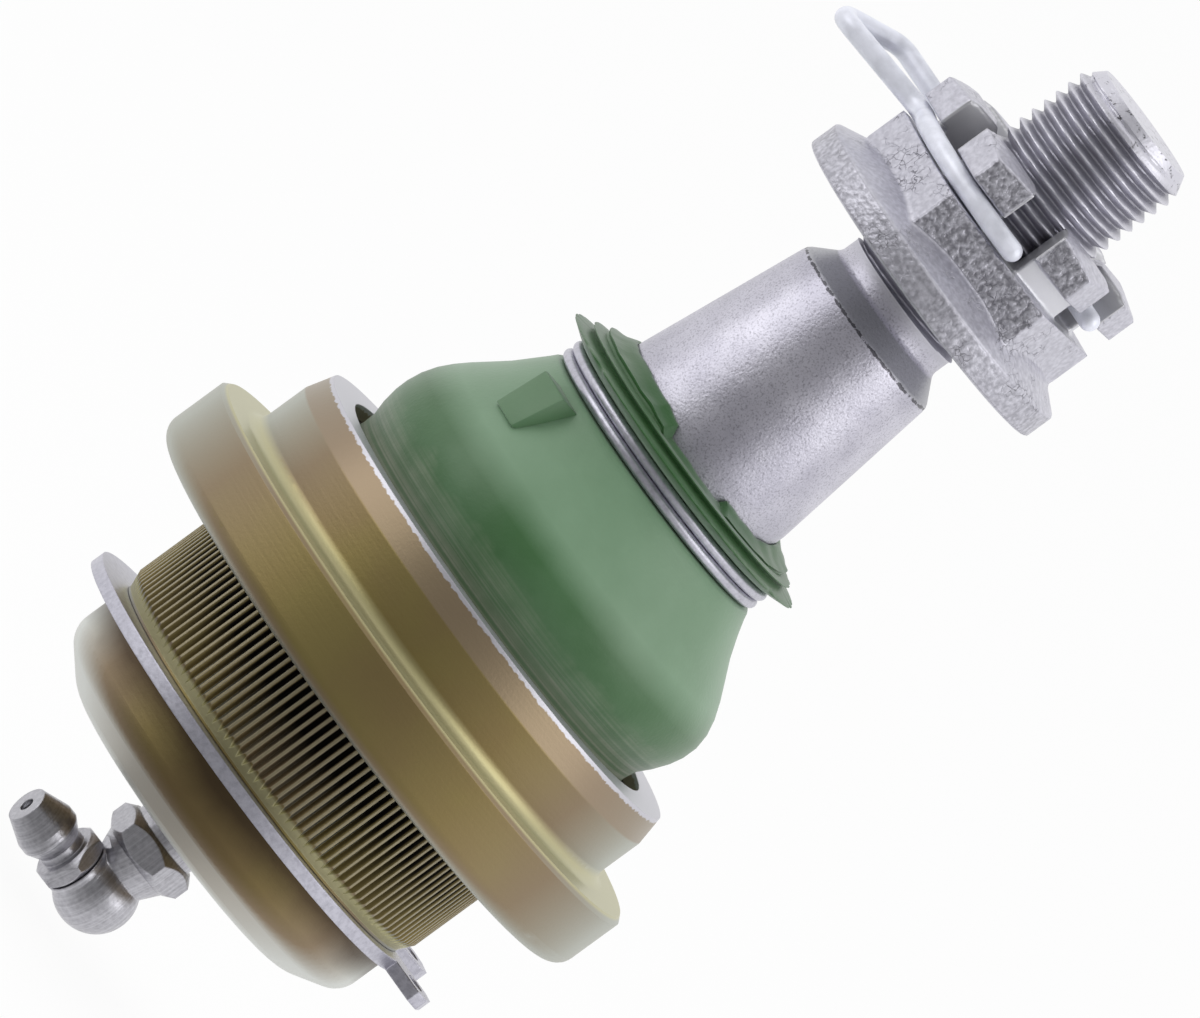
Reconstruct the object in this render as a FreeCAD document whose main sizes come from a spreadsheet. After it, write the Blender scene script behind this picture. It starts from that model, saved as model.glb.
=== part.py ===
"""Suspension ball joint: a press-in housing, a ball stud in two bearing shells, a rubber boot,
a castle nut with its locking clip, a retaining ring and an angled grease fitting.

Millimetres. +Z runs along the stud to its threaded end. The origin lies on the axis of the
housing, on the underside of the flange, which is the face that seats on the suspension arm.
The sizes run outwards from the ball: each wall, step or ledge is added to what it lies on.
"""
import FreeCAD, Part
import math
import os
import Sketcher

SIZES = {
    # ball and bearing shells
    "ball_radius": 16.0,
    "ball_level": 1.5,
    "socket_play": 0.05,
    "shell_wall": 2.87,
    "shell_play": 0.08,
    "shell_parting": 0.5,
    "shell_lip_height": 8.0,
    "shell_lip_margin": 0.1,
    "upper_shell_flare": 0.5,
    "lower_shell_floor": 1.5,
    "lower_shell_port_radius": 3.0,
    # preload below the lower shell
    "stack_play": 0.05,
    "plate_edge_play": 2.5,
    "plate_thickness": 1.2,
    "plate_port_radius": 3.4,
    "disc_spring_height": 1.4,
    "disc_spring_edge_play": 3.5,
    "disc_spring_width": 8.5,
    "disc_spring_thickness": 0.8,
    # housing
    "press_wall": 4.4,
    "knurl_length": 10.0,
    "knurl_depth": 0.5,
    "knurl_crest_width": 0.27,
    "knurl_teeth": 138,
    "lead_in_length": 1.6,
    "lead_in_step": 0.7,
    "ring_land": 0.3,
    "dome_step": 0.6,
    "dome_slope_width": 5.2,
    "dome_slope_height": 3.4,
    "dome_side_round": 3.0,
    "dome_floor_round": 5.0,
    "dome_floor_thickness": 3.4,
    "grease_port_radius": 3.2,
    "closing_shelf": 6.6,
    "collar_wall": 2.8,
    "collar_height": 6.0,
    "collar_foot_round": 1.5,
    "flange_ledge": 5.3,
    "flange_thickness": 8.3,
    "flange_lower_round": 2.0,
    "flange_edge_chamfer": 0.6,
    "rim_taper": 0.8,
    "rim_band_height": 3.1,
    "rim_overlap": 1.6,
    "rim_lip_thickness": 1.5,
    # retaining ring
    "retainer_groove_depth": 1.1,
    "retainer_width": 3.8,
    "retainer_narrowing": 1.5,
    "retainer_thickness": 1.45,
    "retainer_play": 0.05,
    "retainer_gap_angle": 22.0,
    "retainer_direction": 10.0,
    "lug_spread_angle": 16.5,
    "lug_overhang": 4.9,
    "lug_foot_width": 4.6,
    "lug_tip_chamfer": 1.1,
    "plier_hole_radius": 1.1,
    # closing ring and the boot's foot
    "closing_play": 0.1,
    "closing_ring_wall": 1.8,
    "closing_ring_flange": 2.2,
    "closing_ring_step": 1.8,
    "boot_clearance": 0.3,
    "foot_width": 3.5,
    "foot_margin": 0.35,
    "base_ring_thickness": 1.0,
    # boot
    "boot_wall": 2.4,
    "boot_waist_gap": 1.7,
    "boot_waist_rise": 1.0,
    "boot_belly_bulge": 1.2,
    "boot_belly_rise": 5.6,
    "boot_shoulder_step": 0.7,
    "boot_shoulder_rise": 8.9,
    "boot_neck_wall": 3.65,
    "boot_neck_drop": 7.75,
    "clamp_groove_height": 3.1,
    "clamp_groove_depth": 1.55,
    "fin_overhang": 2.25,
    "fin_height": 1.6,
    "second_fin_overhang": 0.15,
    "second_fin_rise": 1.9,
    "lip_wall": 0.8,
    "lip_rise": 4.3,
    # clamp ring
    "wire_radius": 0.6,
    "wire_row_play": 0.04,
    "wire_step_direction": 90.0,
    "wire_step_angle": 20.0,
    "wire_end_gap_angle": 5.0,
    # stud
    "neck_radius": 9.0,
    "neck_top": 27.0,
    "neck_fillet": 2.0,
    "neck_flare_length": 6.0,
    "shank_radius": 12.1,
    "shank_length": 11.6,
    "taper_length": 19.1,
    "taper_narrowing": 2.05,
    "runout_drop": 2.4,
    "runout_length": 2.1,
    "runout_relief": 0.3,
    "thread_radius": 8.0,
    "thread_projection": 11.9,
    "end_chamfer": 1.1,
    "cross_hole_radius": 1.5,
    "cross_hole_drop": 3.95,
    "cross_hole_direction": 158.0,
    # castle nut
    "nut_clearance": 1.8,
    "nut_height": 16.4,
    "nut_across_flats": 27.0,
    "nut_flange_ledge": 2.7,
    "nut_flange_rim": 3.2,
    "nut_cone_rise": 2.2,
    "nut_cone_ledge": 0.5,
    "nut_corner_direction": 8.0,
    "nut_bore_play": 0.05,
    "nut_countersink": 1.0,
    "nut_top_chamfer": 1.0,
    "nut_corner_drop": 1.25,
    "nut_slots": 6,
    "nut_slot_width": 5.1,
    "nut_slot_depth": 6.6,
    "clip_groove_drop": 5.45,
    "clip_groove_depth": 1.0,
    "clip_groove_play": 0.2,
    # locking clip
    "clip_wire_radius": 1.1,
    "clip_tip_overhang": 0.1,
    "clip_far_overhang": 6.7,
    "clip_far_bend_radius": 2.6,
    "clip_eye_overhang": 10.8,
    "clip_eye_drop": 0.95,
    "clip_eye_width": 4.6,
    "clip_eye_side": 1.0,
    "clip_eye_radius": 2.0,
    "clip_near_bend_radius": 3.3,
    "clip_near_bend_reach": 3.0,
    "clip_start_direction": 197.0,
    "clip_end_direction": 280.0,
    # grease fitting
    "fitting_direction": 204.0,
    "elbow_drop": 10.6,
    "elbow_radius": 4.45,
    "elbow_waist_radius": 3.4,
    "elbow_waist_rise": 3.0,
    "elbow_neck_radius": 4.3,
    "elbow_hex_flats": 9.4,
    "elbow_hex_height": 3.4,
    "elbow_hex_chamfer": 0.6,
    "elbow_hex_rise": 5.1,
    "elbow_shank_radius": 4.1,
    "elbow_thread_play": 0.05,
    "elbow_boss_reach": 3.5,
    "elbow_boss_radius": 3.5,
    "grease_channel_radius": 1.0,
    "nipple_hex_flats": 7.0,
    "nipple_hex_length": 2.1,
    "nipple_hex_chamfer": 0.5,
    "nipple_waist_radius": 2.45,
    "nipple_waist_length": 0.9,
    "nipple_shoulder_length": 1.5,
    "nipple_head_radius": 3.25,
    "nipple_head_length": 1.0,
    "nipple_cone_length": 3.1,
    "nipple_tip_radius": 2.2,
    "nipple_stem_radius": 1.9,
    "nipple_stem_length": 1.6,
    "valve_ball_radius": 1.0,
    "valve_bore_radius": 1.2,
    "valve_mouth_radius": 0.8,
    "valve_mouth_depth": 0.5,
    "valve_spring_wire": 0.16,
    "valve_spring_turns": 5,
    "valve_play": 0.08,
}

NEAR = 0.01
FULL_TURN = 360.0
QUARTER_TURN = 90.0
HEX_SIDES = 6

doc = FreeCAD.newDocument("BallJoint")
sheet = doc.addObject("Spreadsheet::Sheet", "Sizes")
for row, (alias, value) in enumerate(SIZES.items(), 1):
    sheet.set(f"A{row}", alias)
    sheet.set(f"B{row}", str(value))
    sheet.setAlias(f"B{row}", alias)
doc.recompute()


class Size:
    """A size with the expression that ties a sketch or a feature to the sheet."""

    def __init__(self, value, text):
        self.value = value
        self.text = text

    def __add__(self, other):
        return Size(self.value + plain(other), f"({self.text} + {words(other)})")

    def __sub__(self, other):
        return Size(self.value - plain(other), f"({self.text} - {words(other)})")

    def __mul__(self, other):
        return Size(self.value * plain(other), f"({self.text} * {words(other)})")

    def __truediv__(self, other):
        return Size(self.value / plain(other), f"({self.text} / {words(other)})")

    def __neg__(self):
        return Size(-self.value, f"(0 - {self.text})")


class SheetSizes:
    """Gives each alias of the sheet as a Size."""

    def __getattr__(self, alias):
        return Size(float(sheet.get(alias)), f"Sizes.{alias}")


def plain(size):
    return size.value if isinstance(size, Size) else float(size)


def words(size):
    return size.text if isinstance(size, Size) else f"{float(size):.9f}"


def root(size):
    return Size(math.sqrt(plain(size)), f"sqrt({words(size)})")


def bind(item, name, size):
    """Sets a property of a feature from a size, through an expression."""
    item.setExpression(name, words(size))


size = SheetSizes()

# Radii, from the ball outwards
ball_seat_radius = size.ball_radius + size.socket_play
socket_radius = ball_seat_radius + size.shell_wall + size.shell_play
shell_radius = socket_radius - size.shell_play
shell_lip_radius = root(
    ball_seat_radius * ball_seat_radius - size.shell_lip_height * size.shell_lip_height
) - size.socket_play
knurl_radius = socket_radius + size.press_wall
dome_radius = knurl_radius - size.dome_step
closing_seat_radius = socket_radius + size.closing_shelf
collar_radius = closing_seat_radius + size.collar_wall
rim_opening_radius = closing_seat_radius - size.rim_overlap
closing_pocket_radius = closing_seat_radius - size.closing_play - size.closing_ring_wall
foot_outer_radius = closing_pocket_radius - size.boot_clearance
foot_inner_radius = foot_outer_radius - size.foot_width
retainer_inner_radius = dome_radius - size.retainer_groove_depth
boot_seal_radius = size.shank_radius + size.boot_clearance
boot_neck_radius = boot_seal_radius + size.boot_neck_wall
nut_corner_reach = size.nut_across_flats / (2 * math.cos(math.pi / HEX_SIDES))
clip_groove_radius = size.nut_across_flats / 2 - size.clip_groove_depth

# Levels below the ball, down to the fitting
lower_shell_foot = size.ball_level - ball_seat_radius - size.lower_shell_floor
plate_top = lower_shell_foot - size.stack_play
plate_foot = plate_top - size.plate_thickness
disc_spring_top = plate_foot - size.stack_play
disc_spring_foot = disc_spring_top - size.disc_spring_height
socket_floor = disc_spring_foot - size.stack_play
dome_foot = socket_floor - size.dome_floor_thickness
elbow_level = dome_foot - size.elbow_drop
lead_in_foot = -(size.knurl_length + size.lead_in_length)
retainer_top = lead_in_foot - size.ring_land - size.retainer_play
retainer_foot = retainer_top - size.retainer_thickness

# Levels above the ball, up to the boot's foot
closing_seat_level = size.ball_level + size.shell_lip_height + size.shell_lip_margin
closing_ring_foot = closing_seat_level + size.stack_play
closing_ring_floor = closing_ring_foot + size.closing_ring_flange
collar_top = size.flange_thickness + size.collar_height
rim_top = collar_top + size.rim_band_height
lip_foot = rim_top - size.rim_lip_thickness
boot_foot_top = lip_foot - size.foot_margin

# Levels along the stud
shank_foot = size.neck_top + size.neck_flare_length
taper_foot = shank_foot + size.shank_length
taper_top = taper_foot + size.taper_length
runout_level = taper_top + size.runout_drop
thread_foot = runout_level + size.runout_length
nut_level = thread_foot + size.nut_clearance
nut_top = nut_level + size.nut_height
stud_end = nut_top + size.thread_projection
cross_hole_level = nut_top - size.cross_hole_drop
clip_groove_level = nut_top - size.clip_groove_drop
boot_neck_level = taper_foot - size.boot_neck_drop


def turn_to(item, direction):
    """Turns an item about the joint's axis to a direction."""
    item.Placement = FreeCAD.Placement(
        FreeCAD.Vector(0, 0, 0), FreeCAD.Rotation(FreeCAD.Vector(0, 0, 1), plain(direction))
    )
    bind(item, "Placement.Rotation.Angle", direction)


def new_body(name, level=None, direction=None):
    """A body with its own origin on the joint's axis, at a level and turned to a direction."""
    body = doc.addObject("PartDesign::Body", name)
    body.Label = name
    if direction is not None:
        turn_to(body, direction)
    if level is not None:
        bind(body, "Placement.Base.z", level)
    return body


def sketch_on(body, role, name, offset=None):
    """A sketch on one of the body's own origin planes, moved along its normal by the offset."""
    sketch = body.newObject("Sketcher::SketchObject", name)
    plane = [item for item in body.Origin.OriginFeatures if item.Role == role][0]
    sketch.AttachmentSupport = (plane, [""])
    sketch.MapMode = "FlatFace"
    if offset is not None:
        bind(sketch, "AttachmentOffset.Base.z", offset)
    return sketch


def pin_point(sketch, curve, point, across, up):
    """Ties a point of the sketch to its two coordinates."""
    for kind, axis, place in (("DistanceX", -2, across), ("DistanceY", -1, up)):
        if not isinstance(place, Size) and place == 0:
            sketch.addConstraint(Sketcher.Constraint("PointOnObject", curve, point, axis))
            continue
        number = sketch.addConstraint(Sketcher.Constraint(kind, -1, 1, curve, point, plain(place)))
        if isinstance(place, Size):
            bind(sketch, f"Constraints[{number}]", place)


def draw_outline(sketch, corners):
    """A closed outline of straight lines through the corners."""
    count = len(corners)
    for first, second in zip(corners, corners[1:] + corners[:1]):
        start = FreeCAD.Vector(plain(first[0]), plain(first[1]), 0)
        end = FreeCAD.Vector(plain(second[0]), plain(second[1]), 0)
        sketch.addGeometry(Part.LineSegment(start, end), False)
    base = sketch.GeometryCount - count
    for index in range(count):
        following = base + (index + 1) % count
        sketch.addConstraint(Sketcher.Constraint("Coincident", base + index, 2, following, 1))
    for index, (across, up) in enumerate(corners):
        pin_point(sketch, base + index, 1, across, up)


def draw_circle(sketch, across, up, radius):
    """A circle tied to its centre and its radius."""
    centre = FreeCAD.Vector(plain(across), plain(up), 0)
    curve = sketch.addGeometry(Part.Circle(centre, FreeCAD.Vector(0, 0, 1), plain(radius)), False)
    pin_point(sketch, curve, 3, across, up)
    number = sketch.addConstraint(Sketcher.Constraint("Radius", curve, plain(radius)))
    bind(sketch, f"Constraints[{number}]", radius)


def hexagon_corners(flats, centre=(0, 0), first_corner=0.0):
    """Corners of a hexagon, from its size across the flats."""
    reach = flats / (2 * math.cos(math.pi / HEX_SIDES))
    corners = []
    for index in range(HEX_SIDES):
        angle = math.radians(first_corner + FULL_TURN * index / HEX_SIDES)
        corners.append((reach * math.cos(angle) + centre[0], reach * math.sin(angle) + centre[1]))
    return corners


def turned(body, name, corners, kind="PartDesign::Revolution"):
    """Turns an outline of radii and heights about the body's own Z axis."""
    sketch = sketch_on(body, "XZ_Plane", name + "Outline")
    draw_outline(sketch, corners)
    feature = body.newObject(kind, name)
    feature.Profile = sketch
    feature.ReferenceAxis = (sketch, ["V_Axis"])
    feature.Angle = FULL_TURN
    return feature


def padded(body, name, sketch, length):
    """Pads a sketch along its normal."""
    feature = body.newObject("PartDesign::Pad", name)
    feature.Profile = sketch
    bind(feature, "Length", length)
    return feature


def pocketed(body, name, sketch, length=None, reverse=False, midplane=False):
    """Cuts a sketch against its normal, by a length or through everything."""
    feature = body.newObject("PartDesign::Pocket", name)
    feature.Profile = sketch
    if length is None:
        feature.Type = "ThroughAll"
    else:
        bind(feature, "Length", length)
    feature.Reversed = reverse
    feature.Midplane = midplane
    return feature


def patterned(body, name, sketch, feature, count):
    """Repeats a feature round the sketch's normal."""
    pattern = body.newObject("PartDesign::PolarPattern", name)
    pattern.Originals = [feature]
    pattern.Axis = (sketch, ["N_Axis"])
    pattern.Angle = FULL_TURN
    bind(pattern, "Occurrences", count)
    body.Tip = pattern
    return pattern


def ball_feature(body, name, radius, level, cut=False):
    """A ball added to the body, or cut out of it, with its centre on the axis."""
    kind = "PartDesign::SubtractiveSphere" if cut else "PartDesign::AdditiveSphere"
    sphere = body.newObject(kind, name)
    bind(sphere, "Radius", radius)
    if level is not None:
        bind(sphere, "Placement.Base.z", level)
    return sphere


def ring_edges(feature, radius, level):
    """Names of the feature's round edges of this radius at this height."""
    names = []
    for index, edge in enumerate(feature.Shape.Edges, 1):
        if edge.Degenerated or edge.Curve.TypeId != "Part::GeomCircle":
            continue
        same_size = abs(edge.Curve.Radius - plain(radius)) < NEAR
        if same_size and abs(edge.Curve.Center.z - plain(level)) < NEAR:
            names.append(f"Edge{index}")
    return names


def chamfered_hexagon(body, name, flats, foot, top, chamfer):
    """Turns the corners of a hexagon off at its two ends."""
    within = flats / 2 - chamfer / 2
    beyond = flats / (2 * math.cos(math.pi / HEX_SIDES)) + chamfer / 2
    for end, level, cut in (("Foot", foot, chamfer * 2), ("Top", top, -chamfer * 2)):
        corners = [(within, level), (beyond, level), (beyond, cut + level)]
        turned(body, name + end, corners, kind="PartDesign::Groove")


def rounded(body, name, feature, radius, level, fillet_radius):
    """Rounds the feature's round edge of this radius at this height."""
    doc.recompute()
    fillet = body.newObject("PartDesign::Fillet", name)
    fillet.Base = (feature, ring_edges(feature, radius, level))
    bind(fillet, "Radius", fillet_radius)
    return fillet


def make_housing():
    """Forged steel housing: flange, knurled press diameter, dome and rolled rim."""
    flange_radius = collar_radius + size.flange_ledge
    flange_top = size.flange_thickness
    lead_in_radius = knurl_radius - size.lead_in_step
    groove_top = retainer_top + size.retainer_play
    groove_foot = retainer_foot - size.retainer_play
    groove_floor = retainer_inner_radius - size.retainer_play
    floor_radius = dome_radius - size.dome_slope_width
    slope_top = dome_foot + size.dome_slope_height
    body = new_body("housing")
    last = turned(body, "HousingForging", [
        (size.grease_port_radius, dome_foot),
        (floor_radius, dome_foot),
        (dome_radius, slope_top),
        (dome_radius, groove_foot),
        (groove_floor, groove_foot),
        (groove_floor, groove_top),
        (lead_in_radius, groove_top),
        (lead_in_radius, lead_in_foot),
        (knurl_radius, -size.knurl_length),
        (knurl_radius, 0),
        (flange_radius, 0),
        (flange_radius, flange_top - size.flange_edge_chamfer),
        (flange_radius - size.flange_edge_chamfer, flange_top),
        (collar_radius, flange_top),
        (collar_radius, collar_top),
        (collar_radius - size.rim_taper, rim_top),
        (rim_opening_radius, rim_top),
        (rim_opening_radius, lip_foot),
        (closing_seat_radius, lip_foot),
        (closing_seat_radius, closing_seat_level),
        (socket_radius, closing_seat_level),
        (socket_radius, socket_floor),
        (size.grease_port_radius, socket_floor),
    ])
    last = rounded(body, "DomeFloorEdge", last, floor_radius, dome_foot, size.dome_floor_round)
    last = rounded(body, "DomeSideEdge", last, dome_radius, slope_top, size.dome_side_round)
    last = rounded(body, "FlangeLowerEdge", last, flange_radius, 0, size.flange_lower_round)
    rounded(body, "CollarFoot", last, collar_radius, flange_top, size.collar_foot_round)
    tooth_space = sketch_on(body, "XY_Plane", "KnurlSpace")
    half_pitch = knurl_radius * math.pi / size.knurl_teeth
    half_space = half_pitch - size.knurl_crest_width / 2
    draw_outline(tooth_space, [
        (knurl_radius - size.knurl_depth, 0),
        (knurl_radius + size.knurl_depth, half_space * 2),
        (knurl_radius + size.knurl_depth, -half_space * 2),
    ])
    space = pocketed(body, "KnurlCut", tooth_space, -lead_in_foot)
    patterned(body, "Knurl", tooth_space, space, size.knurl_teeth)
    return body


def make_retaining_ring():
    """Open flat spring ring, narrower towards its two lugs for pliers, in the groove of the dome."""
    outer = retainer_inner_radius + size.retainer_width
    narrow = outer - size.retainer_narrowing
    lug_reach = narrow + size.lug_overhang
    lug_foot = (retainer_inner_radius + narrow) / 2
    lug_chamfer_reach = lug_reach - size.lug_tip_chamfer
    lug_half = size.lug_foot_width / 2
    lug_tip_half = lug_half - size.lug_tip_chamfer
    spread = math.radians(plain(size.lug_spread_angle))
    body = new_body("retaining_ring", retainer_foot, size.retainer_direction)
    outline = sketch_on(body, "XY_Plane", "RingOutline")
    draw_circle(outline, -size.retainer_narrowing, 0, outer)
    draw_circle(outline, 0, 0, retainer_inner_radius)
    padded(body, "Ring", outline, size.retainer_thickness)
    lugs = sketch_on(body, "XY_Plane", "LugOutline")
    for side in (1, -1):
        ahead = (math.cos(spread), side * math.sin(spread))
        beside = (-ahead[1], ahead[0])
        corners = []
        for reach, half_width in (
            (lug_foot, -lug_half),
            (lug_chamfer_reach, -lug_half),
            (lug_reach, -lug_tip_half),
            (lug_reach, lug_tip_half),
            (lug_chamfer_reach, lug_half),
            (lug_foot, lug_half),
        ):
            across = reach * ahead[0] + half_width * beside[0]
            up = reach * ahead[1] + half_width * beside[1]
            corners.append((across, up))
        draw_outline(lugs, corners)
    padded(body, "Lugs", lugs, size.retainer_thickness)
    gap = sketch_on(body, "XY_Plane", "GapOutline")
    half_gap = math.radians(plain(size.retainer_gap_angle) / 2)
    far = lug_reach + size.retainer_width
    draw_outline(gap, [(0, 0), (far, -far * math.tan(half_gap)), (far, far * math.tan(half_gap))])
    pocketed(body, "Gap", gap, reverse=True)
    holes = sketch_on(body, "XY_Plane", "PlierHoles")
    hole_reach = lug_reach - lug_half
    for side in (1, -1):
        across = hole_reach * math.cos(spread)
        up = hole_reach * (side * math.sin(spread))
        draw_circle(holes, across, up, size.plier_hole_radius)
    pocketed(body, "Plier", holes, reverse=True)
    return body


def make_bearing_shells():
    """Two plastic shells round the ball, parted at its widest place."""
    lower_top = size.ball_level - size.shell_parting / 2
    lower = new_body("lower_bearing")
    turned(lower, "LowerShell", [
        (size.lower_shell_port_radius, lower_shell_foot),
        (shell_radius, lower_shell_foot),
        (shell_radius, lower_top),
        (size.lower_shell_port_radius, lower_top),
    ])
    ball_feature(lower, "LowerSeat", ball_seat_radius, size.ball_level, cut=True)
    upper_foot = size.ball_level + size.shell_parting / 2
    upper_top = closing_seat_level - size.stack_play
    upper = new_body("upper_bearing")
    turned(upper, "UpperShell", [
        (shell_lip_radius, upper_foot),
        (shell_radius, upper_foot),
        (shell_radius, upper_top),
        (shell_lip_radius + size.upper_shell_flare, upper_top),
        (shell_lip_radius, size.ball_level + size.shell_lip_height),
    ])
    ball_feature(upper, "UpperSeat", ball_seat_radius, size.ball_level, cut=True)
    return [lower, upper]


def make_preload():
    """Disc spring on the socket's floor, and the plate between it and the lower shell."""
    plate_radius = socket_radius - size.plate_edge_play
    plate = new_body("pressure_plate")
    turned(plate, "Plate", [
        (size.plate_port_radius, plate_foot),
        (plate_radius, plate_foot),
        (plate_radius, plate_top),
        (size.plate_port_radius, plate_top),
    ])
    spring_outer = socket_radius - size.disc_spring_edge_play
    spring_inner = spring_outer - size.disc_spring_width
    spring = new_body("preload_spring")
    turned(spring, "DiscSpring", [
        (spring_outer, disc_spring_foot),
        (spring_outer, disc_spring_foot + size.disc_spring_thickness),
        (spring_inner, disc_spring_top),
        (spring_inner, disc_spring_top - size.disc_spring_thickness),
    ])
    return [plate, spring]


def make_closing_ring():
    """Ring under the rolled rim: it shuts the socket and takes the boot's foot."""
    opening = shell_lip_radius + size.upper_shell_flare + size.closing_ring_step
    outer = closing_seat_radius - size.closing_play
    top = lip_foot - size.stack_play
    body = new_body("closing_ring")
    turned(body, "ClosingRing", [
        (opening, closing_ring_foot),
        (outer, closing_ring_foot),
        (outer, top),
        (closing_pocket_radius, top),
        (closing_pocket_radius, closing_ring_floor),
        (opening, closing_ring_floor),
    ])
    return body


def make_base_ring():
    """Steel band that holds the boot's foot against the closing ring."""
    foot = closing_ring_floor + size.stack_play
    outer = foot_inner_radius - size.boot_clearance
    inner = outer - size.base_ring_thickness
    body = new_body("boot_base_ring")
    turned(body, "BaseBand", [
        (inner, foot),
        (outer, foot),
        (outer, boot_foot_top),
        (inner, boot_foot_top),
    ])
    return body


def make_dust_boot():
    """Rubber bellows from the closing ring to the stud, as one turned wall."""
    foot = closing_ring_floor + size.boot_clearance
    waist = (rim_opening_radius - size.boot_waist_gap, rim_top + size.boot_waist_rise)
    belly = (waist[0] + size.boot_belly_bulge, rim_top + size.boot_belly_rise)
    shoulder = (belly[0] - size.boot_shoulder_step, rim_top + size.boot_shoulder_rise)
    groove_floor = boot_neck_radius - size.clamp_groove_depth
    groove_top = boot_neck_level + size.clamp_groove_height
    second_fin = groove_top + size.second_fin_rise
    lip = groove_top + size.lip_rise
    lip_radius = boot_seal_radius + size.lip_wall

    def spot(place):
        return FreeCAD.Vector(plain(place[0]), 0, plain(place[1]))

    def straight(places):
        return [Part.LineSegment(spot(a), spot(b)).toShape() for a, b in zip(places, places[1:])]

    def bulge(*places):
        return [Part.Arc(*[spot(place) for place in places]).toShape()]

    foot_corner = (foot_inner_radius, foot)
    lining_foot = (foot_inner_radius, waist[1])
    lining_belly = (belly[0] - size.boot_wall, belly[1])
    lining_shoulder = (shoulder[0] - size.boot_wall, shoulder[1])
    edges = straight([
        foot_corner,
        (foot_outer_radius, foot),
        (foot_outer_radius, boot_foot_top),
        (waist[0], boot_foot_top),
        waist,
    ])
    edges += bulge(waist, belly, shoulder)
    edges += straight([
        shoulder,
        (boot_neck_radius, boot_neck_level),
        (groove_floor, boot_neck_level),
        (groove_floor, groove_top),
        (boot_neck_radius, groove_top),
        (boot_neck_radius + size.fin_overhang, groove_top + size.fin_height / 2),
        (lip_radius + size.boot_wall / 2, second_fin),
        (boot_neck_radius + size.second_fin_overhang, second_fin),
        (lip_radius, lip),
        (boot_seal_radius, lip),
        (boot_seal_radius, boot_neck_level),
        lining_shoulder,
    ])
    edges += bulge(lining_shoulder, lining_belly, lining_foot)
    edges += straight([lining_foot, foot_corner])
    section = Part.Face(Part.Wire(edges))
    boot = doc.addObject("Part::Feature", "dust_boot")
    boot.Label = "dust_boot"
    boot.Shape = section.revolve(FreeCAD.Vector(0, 0, 0), FreeCAD.Vector(0, 0, 1), FULL_TURN)
    return boot


def polar(radius, degrees, level):
    angle = math.radians(degrees)
    return FreeCAD.Vector(radius * math.cos(angle), radius * math.sin(angle), level)


def level_arc(radius, begin, finish, level):
    """Arc about the joint's axis from one direction to another."""
    middle = polar(radius, (begin + finish) / 2, level)
    return Part.Arc(polar(radius, begin, level), middle, polar(radius, finish, level)).toShape()


def swept_wire(name, edges, start, heading, radius):
    """Round wire swept along a route of edges."""
    route = doc.addObject("Part::Feature", name + "_route")
    route.Shape = Part.Wire(edges)
    section = doc.addObject("Part::Feature", name + "_section")
    section.Shape = Part.Wire(Part.Circle(start, heading, radius).toShape())
    wire = doc.addObject("Part::Sweep", name)
    wire.Label = name
    wire.Sections = [section]
    wire.Spine = (route, [f"Edge{index}" for index in range(1, len(edges) + 1)])
    wire.Solid = True
    wire.Frenet = False
    return wire


def make_clamp_ring():
    """Spring wire ring in the groove of the boot's neck: two flat turns and the step between them."""
    row = size.wire_radius * 2 + size.wire_row_play
    low = boot_neck_level + (size.clamp_groove_height - row) / 2
    high = low + row
    groove_floor = boot_neck_radius - size.clamp_groove_depth
    coil_radius = groove_floor + size.boot_clearance + size.wire_radius
    turn_angle = -(size.wire_step_angle + size.wire_end_gap_angle) + FULL_TURN
    step_begin = size.wire_step_direction - size.wire_step_angle / 2
    step_end = step_begin + size.wire_step_angle
    turns = []
    for name, direction, level in (
        ("clamp_lower_turn", step_begin - turn_angle, low),
        ("clamp_upper_turn", step_end, high),
    ):
        turn = doc.addObject("Part::Torus", name)
        bind(turn, "Radius1", coil_radius)
        bind(turn, "Radius2", size.wire_radius)
        bind(turn, "Angle3", turn_angle)
        turn_to(turn, direction)
        bind(turn, "Placement.Base.z", level)
        turns.append(turn)
    coil = plain(coil_radius)
    begin = plain(step_begin)
    finish = plain(step_end)
    start = polar(coil, begin, plain(low))
    heading = polar(1, begin + QUARTER_TURN, 0)
    step = Part.BSplineCurve()
    step.interpolate(
        Points=[
            start,
            polar(coil, (begin + finish) / 2, plain(low + high) / 2),
            polar(coil, finish, plain(high)),
        ],
        InitialTangent=heading,
        FinalTangent=polar(1, finish + QUARTER_TURN, 0),
    )
    turns.append(swept_wire("clamp_step", [step.toShape()], start, heading, plain(size.wire_radius)))
    ring = doc.addObject("Part::MultiFuse", "boot_clamp_ring")
    ring.Label = "boot_clamp_ring"
    ring.Shapes = turns
    return ring


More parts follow.
